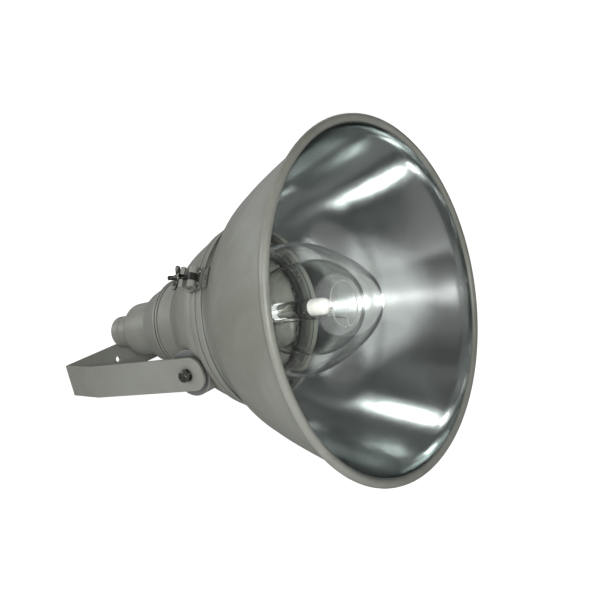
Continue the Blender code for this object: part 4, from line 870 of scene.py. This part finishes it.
def makeBracket():
    depth, level, half, wall = pivot["depth"], -pivot["drop"], strap["halfWidth"], strap["thickness"]
    front, bendPlace = depth - strap["armFront"], depth + strap["armLength"]
    back, inset, corner = bendPlace + strap["bendLength"], strap["bendInset"], strap["armCorner"]
    lean = math.atan2(inset, strap["bendLength"])
    shift, backShift = wall * math.tan(lean / 2), wall * math.tan((math.pi / 2 - lean) / 2)
    insideHalf = half - inset - backShift
    right = {"outer": [(half - inset, back), (half, bendPlace), (half, front)],
             "inner": [(insideHalf, back - wall), (half - wall, bendPlace - shift), (half - wall, front)]}
    lift = 1.0     # keeps every point off the axis, where softened leaves corners alone
    shape = []
    for name, radius in (("outer", strap["bendRound"]), ("inner", strap["bendRound"] - wall)):
        line = [(-x, y) for x, y in right[name][::-1]] + right[name]
        line = softened([(x, y + lift) for x, y in line], radius, 8, closed=False)
        shape.append([(x, y - lift) for x, y in line])
    outline = shape[0] + shape[1][::-1]
    stand = Matrix(((0, 1, 0, 0), (0, 0, 1, 0), (1, 0, 0, 0), (0, 0, 0, 1)))
    foot, top = level - strap["width"] / 2, level + strap["width"] / 2
    mesh = Draft().slab(outline, foot, top, stand).done()
    end = back + cutPast
    side = [*arc((front + corner, top - corner), corner, 180, 90, 14), (end, top), (end, foot),
            *arc((front + corner, foot + corner), corner, 270, 180, 14)]
    mesh = reshaped(mesh, "INTERSECT", Draft().slab(side, -half - cutPast, half + cutPast))
    steps, far = strap["holeSteps"], half + cutPast
    holes = Draft().rod((-far, depth, level), (far, depth, level), strap["boltHole"], steps)
    for x, radius in ((0, strap["mountHole"]), (-strap["sidePlace"], strap["sideHole"]),
                      (strap["sidePlace"], strap["sideHole"])):
        holes.rod((x, back - 2 * cutPast, level), (x, end, level), radius, steps)
    mesh = reshaped(mesh, "DIFFERENCE", holes)
    newPiece("strapBracket", mesh, "greyEnamel", "bracket", "bracket", bevel=strap["edge"])


fixing = {"washer": 0.0105, "washerThickness": 0.002, "washerEdge": 0.0004, "spring": 0.0088,
          "springThickness": 0.0024, "springEdge": 0.0003, "split": 0.002, "flats": 0.017,
          "headHeight": 0.0064, "crownDrop": 0.0016, "crownFoot": 1.02, "crownTop": 0.84,
          "engagement": 0.020, "discEdge": 0.001, "boltEdge": 0.00025, "steps": 64, "shankSteps": 48}


def makePivots():
    hole = boss["bolt"] + gap
    discStart, washerStart = boss["face"] + gap, strap["halfWidth"] + gap
    springStart = washerStart + fixing["washerThickness"] + gap
    springEnd = springStart + fixing["springThickness"]
    headStart = springEnd + gap
    top, corner, steps = headStart + fixing["headHeight"], fixing["flats"] / math.sqrt(3), fixing["steps"]
    disc = band(discStart, discStart + boss["disc"], hole, boss["discRadius"])
    washer = band(washerStart, washerStart + fixing["washerThickness"], hole, fixing["washer"])
    spring = softened(band(springStart, springEnd, hole, fixing["spring"]), fixing["springEdge"], 2)
    hexagon = band(headStart, top, 0, corner)
    outside = corner * fixing["crownFoot"]     # clear of the hexagon's corners
    crown = [(headStart - gap, 0), (headStart - gap, outside), (top - fixing["crownDrop"], outside),
             (top, corner * fixing["crownTop"]), (top, 0)]
    shank = band(boss["face"] - fixing["engagement"], headStart + overlap, 0, boss["bolt"])
    for side, name in bothSides:
        place, node = lampPlace @ sideways(side), name.lower()
        turnedPiece("frictionDisc" + name, disc, boss["steps"], "darkEnamel", f"tilt_disc_{node}",
                    fixing["discEdge"], 4, place=place)
        turnedPiece("flatWasher" + name, washer, steps, "steelWithPaintedDarkReflection", f"tilt_washer_{node}",
                    fixing["washerEdge"], place=place)
        slot = Draft().block((0, springStart - gap, -fixing["split"] / 2),
                             (2 * fixing["spring"], springEnd + gap, fixing["split"] / 2))
        mesh = reshaped(Draft().turned(spring, steps).done(), "DIFFERENCE", slot)
        newPiece("splitWasher" + name, mesh, "steelWithPaintedDarkReflection", f"spring_washer_{node}", place=place)
        mesh = reshaped(Draft().turned(hexagon, 6).done(), "INTERSECT", Draft().turned(crown, steps))
        mesh = reshaped(mesh, "UNION", Draft().turned(shank, fixing["shankSteps"]))
        newPiece("hexBolt" + name, mesh, "steelWithPaintedDarkReflection", f"tilt_bolt_{node}", place=place,
                 bevel=fixing["boltEdge"])


# Latch, on the ring's side away from its hinge

latch = {"angle": math.radians(36), "pinDepth": 0.244, "pinRadius": 0.170, "pin": 0.003, "pinEnd": 0.0015,
         "lean": math.radians(14), "edge": 0.0007, "margin": 0.0008, "rise": 0.0035, "space": 0.012,
         "knuckle": 0.0065, "knuckleWidth": 0.0105, "screwPlace": 0.010, "screwTurn": 0.5, "reach": 0.0205,
         "bolt": 0.0035}
pad = {"width": 0.030, "length": 0.014, "rise": 0.0034, "sunk": 0.001, "space": 0.001, "pocket": 0.008,
       "pocketFoot": 0.0006, "rivetTop": 0.0022, "rivetFoot": 0.0002, "rivet": 0.0022, "rivetEnd": 0.0014,
       "rivetSteps": 24, "edge": 0.0006}
catch = {"thickness": 0.0065, "width": 0.033, "foot": 0.0032, "rise": math.radians(14),
         "fall": math.radians(32), "slotPlay": 0.0006, "root": 0.006, "inset": 0.0045,
         "screwPlace": 0.0119, "screwTurn": 0.9}
swing = {"length": 0.043, "threadStart": 0.004, "pitch": 0.00125, "threads": 24, "threadDepth": 0.0005,
         "chamfer": 0.001, "edge": 0.0003, "eyeSteps": 48, "steps": 32}
nut = {"radius": 0.0062, "rearRadius": 0.00527, "length": 0.0075, "round": 0.0006, "edge": 0.0005,
       "wing": 0.0135, "wingThickness": 0.003, "wingRound": 0.003,
       "wingShape": ((0.15, -0.1), (0.2, 0.6), (0.5, 1), (1.3, 1), (1.35, 0.6), (0.9, -0.1)),
       "washer": 0.0075, "washerThickness": 0.0016, "washerEdge": 0.0003, "steps": 48}
latchPlace = lampPlace @ around(math.pi - latch["angle"])
latchPin = (latch["pinDepth"], latch["pinRadius"])
boltFrame = Matrix.Translation((0, *latchPin)) @ Matrix.Rotation(latch["lean"], 4, "X")
latchFit = {"place": latchPlace, "bevel": latch["edge"], "parts": 3}


def latchBar(radius, half):
    return Draft().rod((-half, *latchPin), (half, *latchPin), radius)


def makeScrewPair(name, node, screw, across, seat, turn):
    for side, ending in bothSides:
        makeScrew(name + ending, f"{node}_{ending.lower()}", screw,
                  latchPlace @ pointed((side * across, *seat), (0, 0, -1), side * turn))


def makeLatchBase():
    front, end = ring["front"] + latch["margin"], ring["rear"] - gap
    half, rise = latch["space"] / 2 + latch["knuckleWidth"], latch["rise"]
    outline = [(front, ringRadius(front) + gap), (end, ringRadius(end) + gap),
               (end, ringRadius(end) + gap + rise), (front, ringRadius(front) + gap + rise)]
    mesh = Draft().slab(outline, -half - latch["margin"], half + latch["margin"]).done()
    lift = gap + rise / 2
    earRear, earFront = end - latch["margin"], latch["pinDepth"] - latch["knuckle"]
    outline = [(earRear, ringRadius(earRear) + lift), (earFront, ringRadius(earFront) + lift),
               *arc(latchPin, latch["knuckle"], 190, -10, 22)]
    for side in (-1, 1):
        low, high = sorted((side * latch["space"] / 2, side * half))
        mesh = reshaped(mesh, "UNION", Draft().slab(outline, low, high))
    mesh = reshaped(mesh, "DIFFERENCE", latchBar(latch["pin"] + gap, half + cutPast))
    newPiece("latchEars", mesh, "greyEnamel", "latch_base", **latchFit)
    mesh = latchBar(latch["pin"], half + latch["pinEnd"]).done()
    newPiece("latchPinRod", mesh, "platedSteel", "latch_pin", **latchFit)
    seat = (front + baseScrew["head"] + gap, ringRadius(front) + 2 * gap + rise)
    makeScrewPair("baseScrew", "base_screw", baseScrew, latch["screwPlace"], seat, latch["screwTurn"])


def makeLatchPad():
    line, half = bellOutside(), pad["pocket"] / 2
    end = ring["front"] - pad["space"]
    front = end - pad["length"]
    depths = [front + (end - front) * step / 8 for step in range(9)]
    foot = [(y, readLine(line, y) - pad["sunk"]) for y in depths]
    top = [(y, readLine(line, y) + pad["rise"]) for y in depths]
    mesh = Draft().slab(foot + top[::-1], -pad["width"] / 2, pad["width"] / 2).done()
    middle = (front + end) / 2
    level = readLine(line, middle)
    pocket = Draft().block((-half, middle - half, level + pad["pocketFoot"]),
                           (half, middle + half, level + cutPast))
    mesh = reshaped(mesh, "DIFFERENCE", pocket)
    rivet = Draft().rod((0, middle, level - pad["rivetFoot"]), (0, middle, level + pad["rivetTop"]),
                        pad["rivet"], pad["rivetSteps"], pad["rivetEnd"])
    newPiece("bellPad", reshaped(mesh, "UNION", rivet), "greyEnamel", "latch_pad",
             **{**latchFit, "bevel": pad["edge"]})


def makeCatch():
    high, low = latch["lean"] + catch["rise"], latch["lean"] - catch["fall"]
    turns = [high + (low - high) * step / 16 for step in range(17)]
    upper, under = ([(latchPin[0] + radius * math.cos(turn), latchPin[1] + radius * math.sin(turn))
                     for turn in turns] for radius in (latch["reach"], latch["reach"] - catch["thickness"]))
    front, end = housing["front"] + latch["margin"], housing["flangeRear"] - gap
    foot = ringRadius(front) + gap + catch["foot"]
    outline = [*upper, (end, ringRadius(end) + gap), (front, ringRadius(front) + gap), (front, foot),
               (under[-1][0], foot), *under[::-1]]
    mesh = Draft().slab(outline, -catch["width"] / 2, catch["width"] / 2).done()
    half = latch["bolt"] + catch["slotPlay"]
    slot = Draft().block((-half, catch["root"], -half), (half, latch["reach"] + cutPast, catch["width"]),
                         boltFrame)
    newPiece("catchHook", reshaped(mesh, "DIFFERENCE", slot), "greyEnamel", "latch_catch", **latchFit)
    seat = (housing["front"] + catch["inset"], foot + gap)
    makeScrewPair("catchScrew", "catch_screw", catchScrew, catch["screwPlace"], seat, catch["screwTurn"])


def makeSwingBolt():
    width, radius, end = latch["space"] - 4 * gap, latch["bolt"], swing["length"]
    mesh = Draft().rod((-width / 2, 0, 0), (width / 2, 0, 0), latch["knuckle"], swing["eyeSteps"]).done()
    start = end - swing["pitch"] * swing["threads"] - swing["chamfer"]
    thread = [(swing["threadStart"], 0), (swing["threadStart"], radius)]
    for turn in range(swing["threads"]):
        thread += [(start + swing["pitch"] * turn, radius),
                   (start + swing["pitch"] * (turn + 0.5), radius - swing["threadDepth"])]
    thread += [(end - swing["chamfer"], radius), (end, radius - swing["chamfer"]), (end, 0)]
    mesh = reshaped(mesh, "UNION", Draft().turned(thread, swing["steps"]))
    mesh = reshaped(mesh, "DIFFERENCE", Draft().rod((-width, 0, 0), (width, 0, 0), latch["pin"] + gap))
    newPiece("swingBolt", mesh, "blackSteel", "eye_bolt", "eye_bolt", latchPlace @ boltFrame, swing["edge"])


def makeWingNut():
    place, hole = latchPlace @ boltFrame, latch["bolt"] + gap
    start = latch["reach"] + gap
    end = start + nut["washerThickness"]
    turnedPiece("wingWasher", band(start, end, hole, nut["washer"]), nut["steps"], "platedSteel",
                "latch_washer", nut["washerEdge"], body="latch_washer", place=place)
    start = end + gap
    outline = band(start, start + nut["length"], hole, nut["radius"], nut["rearRadius"])
    mesh = Draft().turned(softened(outline, nut["round"]), nut["steps"]).done()
    for side in (-1, 1):
        corners = [Vector((start + nut["length"] * along, side * (nut["radius"] + share * nut["wing"])))
                   for along, share in nut["wingShape"]]
        outline = []
        for index, here in enumerate(corners):
            back, onward = corners[index - 1] - here, corners[(index + 1) % len(corners)] - here
            outline += roundedCorner(here, back, onward, nut["wingRound"], 6)
        wing = Draft().slab(outline, -nut["wingThickness"] / 2, nut["wingThickness"] / 2,
                            Matrix.Rotation(math.pi / 2, 4, "Y"))
        mesh = reshaped(mesh, "UNION", wing)
    newPiece("wingedNut", mesh, "wornBlackSteel", "wing_nut", "wing_nut", place, nut["edge"], 3)


for make in (makeBell, makeLiner, makeNeckRing, makeHousing, makeRearHousing, makeGland, makeDome, makeClips,
             makeLamp, makeLampWires, makeBracket, makePivots, makeLatchBase, makeLatchPad, makeCatch,
             makeSwingBolt, makeWingNut):
    make()
print("pieces made")

# The nodes that keep their own shape take the first finish of their slot
finishOfSlot = {}
for name, look in looks.items():
    finishOfSlot.setdefault(look["slot"], finishes[name])
for entry in frame["record"]["subparts"]:
    kept = frame["nodes"][entry["node"]]
    kept.data.materials.clear()
    kept.data.materials.append(finishOfSlot[entry["material_slot"]])


# Stage: floor, light and camera. The tones in metal are what the liner and the bright metal show of the room.

stage = {"floor": 60.0, "floorColor": 0.80, "floorRough": 0.9, "floorInMetal": 0.28, "floorLift": 0.92,
         "liftInMetal": 0.10, "ambientLow": 0.50, "ambientTop": 0.05, "ambientHigh": 0.7,
         "behindStart": 0.35, "behindEnd": 0.70, "studioDark": 0.09, "studioPale": 0.24,
         "studioBias": -0.1, "studioJoint": 0.03, "studioScale": 1.7}
camera = {"place": (-1.2248, -0.9531, 0.7718), "forward": (0.7702, 0.5402, -0.3390), "lens": 60.0,
          "sensor": 36.0, "clipEnd": 200.0}
lights = {
    "sideSoftbox": {"place": (-2.7, 0.25, 0.42), "size": 0.8, "power": 8},
    "rearSoftbox": {"place": (-1.3, 2.7, 0.75), "size": 1.2, "power": 14},
    "rightFill": {"place": (2.4, 1.2, 1.0), "size": 1.2, "power": 12},
    "cameraFlash": {"place": (-1.34, -1.08, 0.88), "size": 0.24, "power": 20},
}


def addToScene(name, data, place, forward):
    made = bpy.data.objects.new(name, data)
    made.location = place
    made.rotation_euler = Vector(forward).to_track_quat("-Z", "Y").to_euler()
    bpy.context.scene.collection.objects.link(made)
    return made


def makeFloor():
    draft = Draft()
    half = stage["floor"] / 2
    corners = ((-half, -half), (half, -half), (half, half), (-half, half))
    draft.mesh.faces.new([draft.mesh.verts.new((x, y, 0)) for x, y in corners])
    floor = bpy.data.objects.new("floor", draft.done())
    bpy.context.scene.collection.objects.link(floor)
    material = bpy.data.materials.new("paleFloor")
    material.use_nodes = True
    tree = material.node_tree
    shader = tree.nodes["Principled BSDF"].inputs
    shader["Roughness"].default_value = stage["floorRough"]
    shader["Specular IOR Level"].default_value = 0.0
    shader["Emission Color"].default_value = (1, 1, 1, 1)
    ray = addNode(tree, "LightPath").outputs
    feed(tree, shader["Base Color"],
         mixValues(tree, ray["Is Glossy Ray"], stage["floorColor"], stage["floorInMetal"]))
    inMetal = compute(tree, "MULTIPLY", ray["Is Glossy Ray"], stage["liftInMetal"])
    seen = compute(tree, "ADD", ray["Is Camera Ray"], inMetal, clamp=True)
    seen = compute(tree, "ADD", seen, ray["Is Transmission Ray"], clamp=True)
    feed(tree, shader["Emission Strength"], compute(tree, "MULTIPLY", seen, stage["floorLift"]))
    floor.data.materials.append(material)


def makeWorld():
    # white for the camera, for glass and behind the lamp; in front a dim room of panels for metal to show
    world = bpy.data.worlds.new("studio")
    bpy.context.scene.world = world
    world.use_nodes = True
    tree = world.node_tree
    ray = addNode(tree, "LightPath").outputs
    place = addNode(tree, "TexCoord").outputs["Generated"]
    split = addNode(tree, "SeparateXYZ", {0: place}).outputs
    ambient = addNode(tree, "MapRange", {"Value": split["Z"], "From Max": stage["ambientHigh"],
                                         "To Min": stage["ambientLow"], "To Max": stage["ambientTop"]})
    dark, pale = ((tone, tone, tone, 1) for tone in (stage["studioDark"], stage["studioPale"]))
    panels = addNode(tree, "TexBrick", {"Vector": place, "Scale": stage["studioScale"], "Color1": dark,
                                        "Color2": pale, "Mortar": dark, "Mortar Size": stage["studioJoint"],
                                        "Mortar Smooth": 1.0, "Bias": stage["studioBias"]})
    behind = addNode(tree, "MapRange", {"Value": split["Y"], "From Min": stage["behindStart"],
                                        "From Max": stage["behindEnd"]}, interpolation_type="SMOOTHSTEP")
    room = mixValues(tree, behind, panels, 1.0)
    unseen = mixValues(tree, ray["Is Glossy Ray"], ambient, room)
    seen = compute(tree, "ADD", ray["Is Camera Ray"], ray["Is Transmission Ray"], clamp=True)
    sky = tree.nodes["Background"].inputs
    feed(tree, sky["Strength"], mixValues(tree, seen, unseen, 1.0))
    sky["Color"].default_value = (1, 1, 1, 1)


def makeLights():
    mouthCentre = lampPlace.to_translation()
    for name, light in lights.items():
        data = bpy.data.lights.new(name, "AREA")
        data.shape, data.size, data.energy = "SQUARE", light["size"], light["power"]
        addToScene(name, data, light["place"], mouthCentre - Vector(light["place"]))


def makeCamera():
    data = bpy.data.cameras.new("camera")
    data.lens, data.sensor_width, data.clip_end = camera["lens"], camera["sensor"], camera["clipEnd"]
    bpy.context.scene.camera = addToScene("camera", data, camera["place"], camera["forward"])


makeFloor()
makeWorld()
makeLights()
makeCamera()
bpy.context.scene.view_settings.view_transform = "Standard"
print("stage set")
